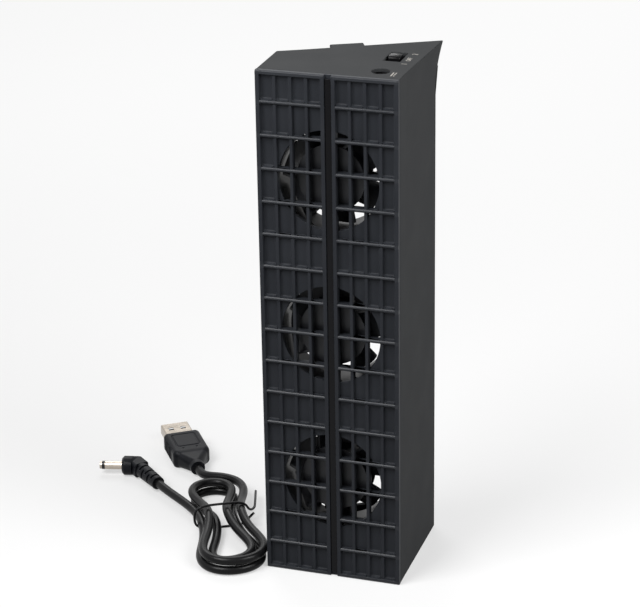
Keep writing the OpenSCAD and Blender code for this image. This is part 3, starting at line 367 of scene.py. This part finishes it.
def whole_faces(mesh):
    """Merges the triangles of each flat face that has one finish."""
    solid = bmesh.new()
    solid.from_mesh(mesh)
    bmesh.ops.dissolve_limit(
        solid, angle_limit=math.radians(flat_within), verts=solid.verts, edges=solid.edges,
        delimit={"MATERIAL"},
    )
    solid.to_mesh(mesh)
    solid.free()
    mesh.shade_smooth()
    mesh.set_sharp_from_angle(angle=math.radians(sharp_from))


def finished(node, edge, finish, heights=(), second=None, where=None):
    """A CAD node's shape with its triangles merged into whole faces and its sharp edges rounded off to
    a width in mm, in place of the node. A second finish may go on the faces whose middles, in mm, pass
    a test."""
    part = frame["nodes"][node]
    mesh = part.data.copy()
    mesh.name = node + "_finish"
    if "custom_normal" in mesh.attributes:
        mesh.attributes.remove(mesh.attributes["custom_normal"])
    mesh.materials.clear()
    mesh.materials.append(finish)
    merged(mesh, heights)
    if second:
        mesh.materials.append(second)
        middle = np.empty(3 * len(mesh.polygons))
        mesh.polygons.foreach_get("center", middle)
        mesh.polygons.foreach_set("material_index", where(*middle.reshape(-1, 3).T / MM).astype(np.int32))
    whole_faces(mesh)
    piece = bpy.data.objects.new(node + ".finish", mesh)
    scene.collection.objects.link(piece)
    round_off = piece.modifiers.new("edge", "BEVEL")
    round_off.width = edge * MM
    round_off.segments = 2
    round_off.limit_method = "ANGLE"
    round_off.angle_limit = math.radians(sharp_from)
    round_off.use_clamp_overlap = False
    round_off.loop_slide = False
    round_off.harden_normals = True
    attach(piece, part["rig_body"])
    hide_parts(node)
    return piece


def dress(node, finish):
    """Gives a CAD node its finish."""
    frame["nodes"][node].data.materials.clear()
    frame["nodes"][node].data.materials.append(finish)


# Moulded PVC: soft black plastic with a fine matt grain, drawn coarser than the real 0.2 mm so that
# it shows.
plug_pvc = moulded("moulded_black_pvc", "#0e0f12", "#141519", (0.36, 0.46), 0.5, 0.01, 6.0, 0.1)
usb_grip = surface("usb_grip", [in_usb(usb_grip_grid())], plug_pvc, crease=30.0)
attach(usb_grip, "root")
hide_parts("usb_moulding")
# Nickel plate on folded steel: a warm, soft mirror with faint drawing marks.
nickel = moulded("nickel_plate", "#a89f94", "#b7aea3", (0.22, 0.34), 0.6, 0.004, 5.0, metal=1.0)
usb_shell = finished("usb_shell", 0.08, nickel)
# Black thermoplastic tongue: dull and dark, so the shell's windows look dark.
tongue_pbt = moulded("black_tongue_pbt", "#161618", "#1c1c1f", (0.5, 0.6), 0.4, 0.01, 4.0, 0.2)
usb_tongue = finished("usb_tongue", 0.08, tongue_pbt)
# Gold flash on bronze contacts: thin bright yellow lines inside the dark shell.
gold = moulded("gold_flash", "#c9a24a", "#d8b766", (0.2, 0.3), 0.4, 0.003, 3.0, metal=1.0)
usb_contacts = finished("usb_contacts", 0.04, gold)

# Barrel plug
# An angled PVC moulding: a strain relief with staggered slots, a square neck cut on a mitre and a round
# collar with a chamfer. It carries a nickel-plated 3.5 mm barrel, an insulating ring and a sprung contact.
relief_l, relief_pitch, relief_start, relief_slot, relief_depth = 14.6, 2.3, 0.8, 0.95, 0.75
neck_half, neck_square, elbow_x, elbow_turn = 3.2, 6.0, 19.4, 55.0
collar_r, collar_l, collar_chamfer, collar_from = 4.0, 6.0, 0.9, 1.9
relief_r, relief_taper, relief_rows, relief_step = 2.75, 0.45, 6, 0.115
slot_steep, slot_side, slot_fade = 4, 0.52, 6
neck_shoulder, neck_in, neck_short = 0.3, 0.25, 2.2
lip_back, lip_out, collar_steps, ring_sides = 0.25, 0.3, 9, 96


def in_dc(points):
    """Points of the barrel plug's frame: x from the cable to the elbow, at the middle of the collar."""
    return in_hank(placed(points, dc_place, dc_turn))


def dc_grip_grid():
    """The moulding as rings of columns at angle a: a round relief whose radius is cut by slots on
    alternate sides, a neck of radius half / (|cos a|^p + |sin a|^p)^(1/p), the same ring laid on the
    mitre, then a collar in the turned frame where p falls to 2 and the corner is chamfered."""
    a = np.linspace(0, 2 * np.pi, ring_sides, endpoint=False)[None]
    unit = np.stack([np.zeros_like(a), np.cos(a), np.sin(a)], -1)

    def squared(p):
        """The ring's radius for a half width of 1: round where p is 2, squarer as p grows."""
        return (np.abs(np.cos(a)) ** p + np.abs(np.sin(a)) ** p) ** (-1 / p)

    x = np.arange(0, relief_l + relief_step / 2, relief_step)[:, None]
    row = (x - relief_start) / relief_pitch
    from_slot = np.abs((row % 1) * relief_pitch - relief_pitch + relief_slot / 2)
    open_x = np.clip(0.5 + (relief_slot / 2 - from_slot) * slot_steep, 0, 1)
    side = np.where(np.floor(row) % 2 == 0, np.abs(np.sin(a)), np.abs(np.cos(a)))
    open_a = np.clip((side - slot_side) * slot_fade, 0, 1)
    cut = relief_depth * open_x * open_a * (row > 0) * (row < relief_rows)
    radius = relief_r + relief_taper * x / relief_l - cut
    relief = unit * radius[..., None] + np.stack([x, 0 * x, 0 * x], -1)
    neck_x = np.array([relief_l, relief_l + neck_shoulder, elbow_x - neck_short])[:, None]
    neck_r = np.array([neck_half - neck_in, neck_half, neck_half])[:, None] * squared(neck_square)
    neck = unit * neck_r[..., None] + np.stack([neck_x, 0 * neck_x, 0 * neck_x], -1)
    lean = math.tan(math.radians(elbow_turn / 2))
    mitre = unit * (neck_half * squared(neck_square))[..., None]
    mitre[..., 0] = elbow_x - mitre[..., 1] * lean
    step = np.linspace(0, 1, collar_steps)[1:, None]
    blend = step * step * (3 - 2 * step)
    size = (neck_half + (collar_r - neck_half) * blend) * squared(2 + (neck_square - 2) * (1 - blend) ** 2)
    shaped = unit * size[..., None]
    shaped[..., 0] = shaped[..., 1] * lean * (1 - step) + step * collar_from
    rim_x = np.array([collar_l - collar_chamfer, collar_l - lip_back, collar_l])[:, None]
    rim_r = np.array([collar_r, collar_r - collar_chamfer + lip_out, collar_r - collar_chamfer])[:, None]
    rim = unit * rim_r[..., None] + np.stack([rim_x, 0 * rim_x, 0 * rim_x], -1)
    collar = placed(np.concatenate([shaped, rim]), (elbow_x, 0, 0), elbow_turn)
    return np.concatenate([relief, neck, mitre, collar])


dc_grip = surface("dc_grip", [in_dc(dc_grip_grid())], plug_pvc, crease=28.0)
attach(dc_grip, "root")
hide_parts("dc_plug_body")
dc_barrel = finished("dc_plug_barrel", 0.06, nickel)
# Black thermoplastic: a glossy ring between the barrel and its tip.
ring_plastic = moulded("black_ring_plastic", "#0b0b0c", "#101012", (0.2, 0.3), 0.5, 0.004, 3.0, 0.3)
dc_ring = finished("dc_plug_insulator", 0.06, ring_plastic)
dc_tip = finished("dc_plug_contact", 0.1, nickel)

# Housing
# One ABS moulding: two sides and two ends of a wedge, with a flared ear and locating tabs at the back,
# and a hole and a slot for the controls in its top end.

# Moulded ABS: dark grey with a fine spark-eroded matt that hardly mirrors, drawn coarser than the real
# 0.1 mm so that it shows.
housing_abs = moulded("black_moulded_abs", "#2a2b2c", "#2f3031", (0.55, 0.65), 0.45, 0.012, 14.0, 0.03)
finished("housing", 0.35, housing_abs)

# Marks
# Small signs pad printed on the top end in light grey ink: a number at each end of the switch's travel, a
# word at its middle, and beside the inlet the plain sign for direct current.
end_z, ink_deep, ink_proud = 200.0, 0.03, 0.03
signs = (
    ("mark_1", "1", 23.0, 1.6, 3.0), ("mark_off", "OFF", 23.2, 7.4, 2.5), ("mark_2", "2", 23.6, 14.0, 3.0),
)
bar_w, long_bar, short_bar, short_pitch, dc_sign, bar_points = 0.5, 4.4, 1.1, 1.65, (22.3, -11.5), 24
# Pad printing ink: a thin matt warm grey film with soft edges.
ink = moulded("grey_print_ink", "#85817b", "#928e88", (0.5, 0.6), 0.3, 0.003, 2.0, 0.2)


def printed(name, words, x, y, size):
    """Letters as a thin closed mesh on the end wall, read from the thick side, so that up is -X."""
    letters = bpy.data.curves.new(name, "FONT")
    letters.body = words
    letters.size = size * MM
    letters.align_x = letters.align_y = "CENTER"
    letters.extrude = (ink_deep + ink_proud) / 2 * MM
    carrier = bpy.data.objects.new(name, letters)
    scene.collection.objects.link(carrier)
    mesh = bpy.data.meshes.new_from_object(carrier.evaluated_get(bpy.context.evaluated_depsgraph_get()))
    bpy.data.objects.remove(carrier)
    lift = end_z + (ink_proud - ink_deep) / 2
    quarter_turn = Matrix.Rotation(math.radians(90), 4, "Z")
    mesh.transform(Matrix.Translation((x * MM, y * MM, lift * MM)) @ quarter_turn)
    merged(mesh)
    mesh.materials.clear()
    mesh.materials.append(ink)
    piece = bpy.data.objects.new(name, mesh)
    scene.collection.objects.link(piece)
    return piece


def bar_grid(x, y, length):
    """A flat bar with round ends: an outline of two half circles, at the foot and the top of the ink."""
    a = np.linspace(0, 2 * np.pi, bar_points, endpoint=False) + np.pi / bar_points
    edge = np.stack([
        x + bar_w / 2 * np.cos(a), y + np.sign(np.sin(a)) * (length - bar_w) / 2 + bar_w / 2 * np.sin(a),
    ], 1)
    levels = (end_z - ink_deep, end_z + ink_proud)
    return np.stack([np.column_stack([edge, np.full(bar_points, z)]) for z in levels])


dashes = [bar_grid(dc_sign[0] + 2 * bar_w, dc_sign[1] + k * short_pitch, short_bar) for k in (-1, 0, 1)]
marks = [printed(*sign) for sign in signs]
marks.append(surface("mark_dc", [bar_grid(*dc_sign, long_bar)] + dashes, ink))
for mark in marks:
    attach(mark, "root")

# Front panel
# An ABS moulding that drops into the housing's open front: a rim, a plate with three round openings,
# proud horizontal bars and lower uprights that split its face into cells, and posts for the fans behind.

# Moulded ABS with a smoother matt than the housing's: dark grey, a little blue, in soft even light.
panel_abs = moulded("black_panel_abs", "#222428", "#27292d", (0.42, 0.52), 0.45, 0.012, 14.0, 0.08)
# The same ABS where the mould was polished: the noses of the bars carry a bright line of light.
nose_abs = moulded("polished_panel_abs", "#222428", "#27292d", (0.3, 0.4), 0.6, 0.006, 14.0, 0.18)
face_y, nose_depth, strip_x, strip_half = -18.675, 0.45, 0.5, 2.7
panel_h, bar_pitch, bars_each_way, bar_half = 200.0, 12.6, 7, 0.75
inner_bars = panel_h / 2 + bar_pitch * np.arange(-bars_each_way, bars_each_way + 1)
bar_z = np.concatenate([[bar_half], inner_bars, [panel_h - bar_half]])


def on_nose(x, y, z):
    """Whether a point lies on the front of a bar: near the panel's face, level with a bar and beside
    the strip."""
    level = np.abs(z[:, None] - bar_z).min(axis=1) < bar_half
    return level & (y < face_y + nose_depth) & (np.abs(x - strip_x) > strip_half)


bar_edges = np.concatenate([bar_z - bar_half, bar_z + bar_half]).tolist()
finished("front_grille", 0.12, panel_abs, bar_edges, nose_abs, on_nose)

# Rounded cells
# The foot of each whole cell of that moulding: its walls lean a little, its corners are round and a
# hollow fillet runs into its floor, so that a thin line of light lies along its lower edge.
left_x, left_pitch, left_half = -4.6375, -5.975, 2.4375
right_x, right_pitch, right_half = 5.5125, 5.725, 2.3125
columns = np.arange(4)
cell_x = np.concatenate([left_x + left_pitch * columns, right_x + right_pitch * columns])
cell_half = np.repeat([left_half, right_half], len(columns))
inner_half = 0.65
bar_thick = np.array([bar_half] + [inner_half] * len(inner_bars) + [bar_half])
cell_low, cell_top = (bar_z + bar_thick)[:-1], (bar_z - bar_thick)[1:]
floor_y, wall_top, wall_lean, film, sunk = -16.975, 1.15, 0.16, 0.02, 0.1
corner_r, fillet_r, least_r, corner_points, fillet_points = 1.0, 0.8, 0.2, 6, 7
opening_z, opening_r = np.array([40.0, 100.0, 160.0]), 19.3


def cell_pans():
    """Rows of rounded rectangles for each cell: an outline at a depth d and an inset v, up the outside
    of its wall and down the inside, then v = r (1 + cos a), d = r (1 + sin a) into the floor."""
    core, out = round_section(1, 1, corner_points)
    a = np.linspace(np.pi, 1.5 * np.pi, fillet_points)
    inset = np.concatenate([[-sunk, -sunk, film], wall_lean + fillet_r * (1 + np.cos(a))])[:, None]
    depth = np.concatenate([[-sunk, wall_top, wall_top], film + fillet_r * (1 + np.sin(a))])[:, None]
    radius = np.maximum(corner_r - inset, least_r)
    grids = []
    for x, half_x in zip(cell_x, cell_half):
        for z0, z1 in zip(cell_low, cell_top):
            gap_z = np.maximum(np.maximum(z0 - opening_z, opening_z - z1), 0)
            if np.hypot(max(abs(x) - half_x, 0), gap_z).min() < opening_r:
                continue
            mid_z, half_z = (z0 + z1) / 2, (z1 - z0) / 2
            grids.append(np.stack([
                x + core[None, :, 0] * (half_x - inset - radius) + out[None, :, 0] * radius,
                np.broadcast_to(floor_y - depth, (len(inset), len(core))),
                mid_z + core[None, :, 1] * (half_z - inset - radius) + out[None, :, 1] * radius,
            ], -1))
    return grids


pans = surface("cell_pans", cell_pans(), panel_abs, crease=40.0)
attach(pans, "root")

# Centre strip
# A narrow strip of black plastic down the middle of the panel, moulded on its own with a polished face
# and pressed into a groove there.

# Polished plastic: near black, with a soft mirror that is slightly wavy along its length.
strip_gloss = moulded("gloss_black_strip", "#08080a", "#0c0c0f", (0.14, 0.22), 3.0, 0.01, 20.0, 0.12)
finished("centre_trim", 0.1, strip_gloss)

# Rear frame
# A slanted ABS plate that closes the housing's back, with a window behind each fan for the hot air. It is
# moulded in one piece and held by four screws.

# Moulded ABS as on the housing: dark grey and matt.
rear_abs = moulded("black_rear_abs", "#2a2b2c", "#2f3031", (0.55, 0.65), 0.45, 0.012, 14.0, 0.03)
finished("rear_frame", 0.25, rear_abs)

# Fans
# Three standard 40 mm axial fans: a square frame with a round duct and a motor mount on three arms, and
# a rotor of six blades on a cup. Magnet, shaft, bearing, stator, windings and board lie inside the hub.

# Glass-filled PBT of the frames: black and satin, so the ducts stay dark behind the bars.
frame_pbt = moulded("black_frame_pbt", "#131315", "#18181a", (0.38, 0.48), 0.4, 0.008, 8.0, 0.15)
# The rotors' PBT, from a smoother mould: a little lighter, with soft streaks of light on the blades.
rotor_pbt = moulded("black_rotor_pbt", "#1a1b1e", "#202124", (0.3, 0.4), 0.4, 0.006, 8.0, 0.25)
# Ferrite powder in a plastic binder: dull, dark and slightly brown.
ferrite = moulded("bonded_ferrite", "#333231", "#413f3d", (0.6, 0.7), 0.3, 0.01, 3.0)
# Bright zinc plate: pale, faintly blue metal with a soft shine.
steel = moulded("zinc_plated_steel", "#aeb0b3", "#c4c6c9", (0.25, 0.38), 0.3, 0.004, 3.0, metal=1.0)
# Sintered bronze: brown metal, dulled by its oil-filled pores.
bronze = moulded("sintered_bronze", "#8f6d3c", "#a8844f", (0.35, 0.5), 0.25, 0.01, 2.0, metal=1.0)
# Stamped core sheets in a stack: plain grey steel with a rolled skin.
sheets = moulded("stacked_core_steel", "#6b6d70", "#7d7f82", (0.4, 0.5), 0.3, 0.01, 2.0, metal=1.0)
# Enamelled wire: red-brown copper under a clear varnish, uneven from the turns.
copper = moulded("enamelled_copper", "#8a4220", "#a4552b", (0.25, 0.35), 0.2, 0.03, 2.0, metal=1.0)
# Glass epoxy under green solder resist: a smooth, glossy, even green.
board = moulded("green_glass_epoxy", "#23573a", "#2f6b45", (0.3, 0.42), 0.5, 0.004, 4.0)
for fan in "123":
    finished("fan_frame_" + fan, 0.15, frame_pbt)
    finished("rotor_" + fan, 0.1, rotor_pbt)
    dress("magnet_" + fan, ferrite)
    dress("shaft_" + fan, steel)
    dress("bearing_" + fan, bronze)
    dress("stator_" + fan, sheets)
    dress("windings_" + fan, copper)
    dress("fan_board_" + fan, board)

# Screws
# Small pan heads of zinc-plated steel with a cross recess, driven into plastic posts: four at each fan,
# four in the rear frame and two at the control board.
finished("fan_screws", 0.08, steel)
finished("case_screws", 0.08, steel)
finished("board_screws", 0.08, steel)

# Control board
# A small glass-epoxy board under the top end, held by two screws. The jack, the switch and the fans'
# three connectors sit on it, and their pins are soldered through it.

# Black nylon of the jack and the switch's case: dark and fairly glossy.
nylon = moulded("black_nylon", "#0f0f11", "#151517", (0.25, 0.35), 0.4, 0.006, 5.0, 0.3)
# Undyed nylon of the connectors: creamy white and satin.
natural_nylon = moulded("natural_nylon", "#dcd7c8", "#e8e3d6", (0.4, 0.5), 0.4, 0.01, 5.0)
# Tinned steel of the switch cover: a dull sheet whose colour is painted shade, a dark grey far below bright
# tin, so that the slot beside the knob stays dark.
shade_dark_steel = moulded("tinned_steel_painted_shade", "#4c4d4f", "#58595b", (0.5, 0.6), 0.3, 0.006, 3.0, metal=1.0)
finished("control_board", 0.05, board)
finished("dc_jack", 0.12, nylon)
finished("switch_case", 0.12, nylon)
finished("fan_headers", 0.1, natural_nylon)
dress("dc_jack_pin", nickel)
dress("dc_jack_spring", bronze)
dress("switch_cover", shade_dark_steel)
dress("switch_terminals", nickel)

# Switch knob
# A small glossy black slider: a wide foot in the switch's case and a stem through the end wall, with a
# domed top that has shallow finger grooves across it.
knob_low, knob_high = (np.array(corner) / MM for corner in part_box("switch_knob"))
knob_half, foot_half, foot_h, dome_rise, dome_power = (2.25, 2.5), (2.45, 3.1), 3.3, 1.3, 2.6
groove_pitch, groove_w, groove_depth, groove_reach, dome_points = 1.1, 0.5, 0.12, 1.5, 49
end_at, end_in = np.array([0.82, 0.93, 0.985, 1]), np.array([0, 0.07, 0.22, 0.4])
foot_flat, foot_in = 0.95, 0.1


def knob_stem():
    """Closed outlines in the lengthwise plane, carried across the knob and drawn in towards its ends: a
    dome y = half * cos^(2/p), z = rise * sin^(2/p) with cosine grooves, over upright sides."""
    a = np.linspace(0, np.pi, dome_points)
    y = np.sign(np.cos(a)) * np.abs(np.cos(a)) ** (2 / dome_power) * knob_half[1]
    z = np.abs(np.sin(a)) ** (2 / dome_power) * dome_rise
    off = np.abs((y + groove_pitch / 2) % groove_pitch - groove_pitch / 2)
    groove = np.where(off < groove_w / 2, 0.5 + 0.5 * np.cos(2 * np.pi * off / groove_w), 0)
    z = z - groove_depth * groove * (np.abs(y) < groove_reach * groove_pitch)
    y = np.append(y, [-knob_half[1], knob_half[1]])
    z = np.append(z + knob_high[2] - dome_rise, [knob_low[2]] * 2)
    x = np.concatenate([-end_at[::-1], end_at]) * knob_half[0]
    drawn_in = np.concatenate([end_in[::-1], end_in])[:, None]
    up = (z > knob_low[2] + foot_h)[None]
    return np.stack([
        np.broadcast_to(x[:, None], (len(x), len(y))), y * (1 - drawn_in / knob_half[1]), z - drawn_in * up,
    ], -1)


def knob_foot():
    """The foot: a box with its long edges drawn in, as outlines carried across it."""
    x = np.array([-1, -foot_flat, foot_flat, 1]) * foot_half[0]
    drawn_in = np.array([foot_in, 0, 0, foot_in])[:, None]
    y = np.array([1, 1, -1, -1]) * foot_half[1]
    z = np.array([0, foot_h, foot_h, 0]) + knob_low[2]
    shape = (len(x), len(y))
    return np.stack([
        np.broadcast_to(x[:, None], shape), y - np.sign(y) * drawn_in, np.broadcast_to(z, shape),
    ], -1)


knob_middle = np.append((knob_low[:2] + knob_high[:2]) / 2, 0)
# Polished black nylon: near black, with one sharp band of light on the front of the dome.
knob_nylon = moulded("polished_black_nylon", "#0b0b0c", "#101012", (0.16, 0.22), 0.6, 0.002, 5.0, 0.08)
knob = surface("knob_dome", [knob_stem() + knob_middle, knob_foot() + knob_middle], knob_nylon, crease=50.0)
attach(knob, "knob")
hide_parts("switch_knob")

# Fan leads
# A red and a black stranded wire from each fan, in PVC insulation. They leave along an arm of the fan's
# frame, run up the gap beside the fans and end in a connector on the board.
lead_r, lead_gap, lead_clear = 0.55, 1.5, 0.15
lead_turn, lead_climb, lead_cut, lead_slant = 3.0, 1.4, 0.3, 0.7
lead_step, lead_ease, lead_sides, lead_ref = 0.4, 2, 12, (0.31, 0.94, 0.13)
fan_back, fan_half, hub_r, hub_clear = 13.6, 20.0, 12.8, 1.0
lead_x, lead_y, lead_top = 22.5, (6.3, 9.3, 12.3), (179.0, 176.0, 173.0)
header_x, header_y, header_z = 11.4, (22.879, 27.679, 32.479), 186.05


def lead_path(k, side):
    """A lead's corners, from its fan along an arm, up the gap, back, across and up, then eased."""
    s, z, level, y1, y2 = side * lead_gap / 2, opening_z[k], lead_top[k], lead_y[k], header_y[k]
    y0 = fan_back + lead_r + lead_clear + lead_gap / 2
    climb, cut, slant = lead_turn + lead_climb * (y0 - y1), lead_cut * lead_turn, lead_slant * s
    corners = np.array([
        [hub_r + hub_clear, y0 + s, z], [fan_half - lead_turn, y0 + s, z],
        [fan_half + cut, y0 + s, z + cut], [lead_x - cut / 3, y0 + s - cut / 3, z + lead_turn],
        [lead_x, (y0 + y1) / 2 + s, z + (lead_turn + climb) / 2], [lead_x, y1 + s, z + climb],
        [lead_x, y1 + s, level - lead_turn], [lead_x, y1 + cut + slant, level - cut - slant],
        [lead_x, y1 + lead_turn, level - s], [lead_x, y2 - lead_turn, level - s],
        [lead_x - cut, y2 - cut, level - s], [lead_x - lead_turn, y2, level - s],
        [header_x + lead_turn, y2, level - s], [header_x + cut - slant, y2, level + cut - slant],
        [header_x - s, y2, level + lead_turn], [header_x - s, y2, header_z],
    ])
    return eased(evenly(corners, lead_step), lead_ease) + [0, face_y, 0]


# Extruded PVC insulation: smooth and satin, in plain red and black.
for colour, side, dark, light in (("red", 1, "#8e1f1b", "#a32a24"), ("black", -1, "#111113", "#1a1a1c")):
    insulation = moulded(colour + "_pvc_lead", dark, light, (0.35, 0.45), 0.6, 0.01, 6.0)
    grids = [tube(lead_path(k, side), lead_r, lead_sides, lead_ref) for k in range(3)]
    leads = surface(colour + "_leads", grids, insulation)
    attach(leads, "root")
    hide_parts("fan_leads_" + colour)

# Studio
# A floor of pale paper under three softboxes, at the front left, on the right and behind. The floor and
# the world glow for the camera and for reflections, so the background is white and keeps the shadows.
floor_mesh = bpy.data.meshes.new("floor")
floor_half, floor_z = 4.0, -0.00005
floor_corners = ((-1, -1), (1, -1), (1, 1), (-1, 1))
floor_mesh.from_pydata(
    [(x * floor_half, y * floor_half, floor_z) for x, y in floor_corners], [], [(0, 1, 2, 3)],
)
floor = bpy.data.objects.new("floor", floor_mesh)
scene.collection.objects.link(floor)


def seen(tree):
    """1 for rays from the camera, from a reflection or through glass, else 0."""
    ray = add(tree, "ShaderNodeLightPath").outputs
    found = ray["Is Camera Ray"]
    for kind in ("Is Glossy Ray", "Is Transmission Ray"):
        found = add(tree, "ShaderNodeMath", {0: found, 1: ray[kind]}, operation="MAXIMUM").outputs[0]
    return found


# Matt paper: it takes the soft shadows, and its glow lifts it to white. The softboxes light it most near
# the object, so it glows less there: glow = far - dip / (1 + (distance / reach)^2), and the floor is even.
pool_middle, pool_reach, glow_far, glow_dip = (-0.2, -0.25, 0.0), 1.1, 1.221, 0.79
paper = bpy.data.materials.new("pale_paper")
paper.use_nodes = True
tree = paper.node_tree
tree.nodes.clear()
sheet = add(tree, "ShaderNodeBsdfDiffuse", {"Color": linear("#a0a0a0")})
on_floor = add(tree, "ShaderNodeTexCoord").outputs["Object"]
from_pool = add(tree, "ShaderNodeVectorMath", {0: on_floor, 1: pool_middle}, operation="DISTANCE")
ratio = add(tree, "ShaderNodeMath", {0: from_pool.outputs["Value"], 1: pool_reach}, operation="DIVIDE")
square = add(tree, "ShaderNodeMath", {0: ratio.outputs[0], 1: 2.0}, operation="POWER")
wider = add(tree, "ShaderNodeMath", {0: square.outputs[0], 1: 1.0}, operation="ADD")
dip = add(tree, "ShaderNodeMath", {0: glow_dip, 1: wider.outputs[0]}, operation="DIVIDE")
even = add(tree, "ShaderNodeMath", {0: glow_far, 1: dip.outputs[0]}, operation="SUBTRACT", use_clamp=True)
strength = add(tree, "ShaderNodeMath", {0: seen(tree), 1: even.outputs[0]}, operation="MULTIPLY")
glow = add(tree, "ShaderNodeEmission", {"Strength": strength.outputs[0]})
both = add(tree, "ShaderNodeAddShader", {0: sheet.outputs[0], 1: glow.outputs[0]})
add(tree, "ShaderNodeOutputMaterial", {"Surface": both.outputs[0]})
floor_mesh.materials.append(paper)

# The room round it: bright to the camera and in reflections, dim as a light, so that black stays black.
sky_light, sky_seen = 0.16, 0.955
world = bpy.data.worlds.new("studio")
world.use_nodes = True
tree = world.node_tree
tree.nodes.clear()
level = add(tree, "ShaderNodeMapRange", {"Value": seen(tree), "To Min": sky_light, "To Max": sky_seen})
sky = add(tree, "ShaderNodeBackground", {
    "Color": (1.0, 1.0, 1.0, 1.0), "Strength": level.outputs["Result"],
})
add(tree, "ShaderNodeOutputWorld", {"Surface": sky.outputs[0]})
scene.world = world

for name, place, aim, size, watts in (
    ("front_softbox", (-0.2, -0.3, 0.48), (0.0, 0.0, 0.15), 0.3, 3.5),
    ("right_softbox", (0.34, -0.1, 0.4), (0.02, 0.0, 0.16), 0.25, 2.0),
    ("back_softbox", (-0.3, 0.5, 0.6), (0.0, 0.0, 0.1), 0.4, 2.0),
):
    softbox = bpy.data.lights.new(name, "AREA")
    softbox.size = size
    softbox.energy = watts
    lamp = bpy.data.objects.new(name, softbox)
    scene.collection.objects.link(lamp)
    facing = (Vector(place) - Vector(aim)).to_track_quat("Z", "Y").to_matrix().to_4x4()
    lamp.matrix_world = Matrix.Translation(place) @ facing

scene.view_settings.view_transform = "Standard"
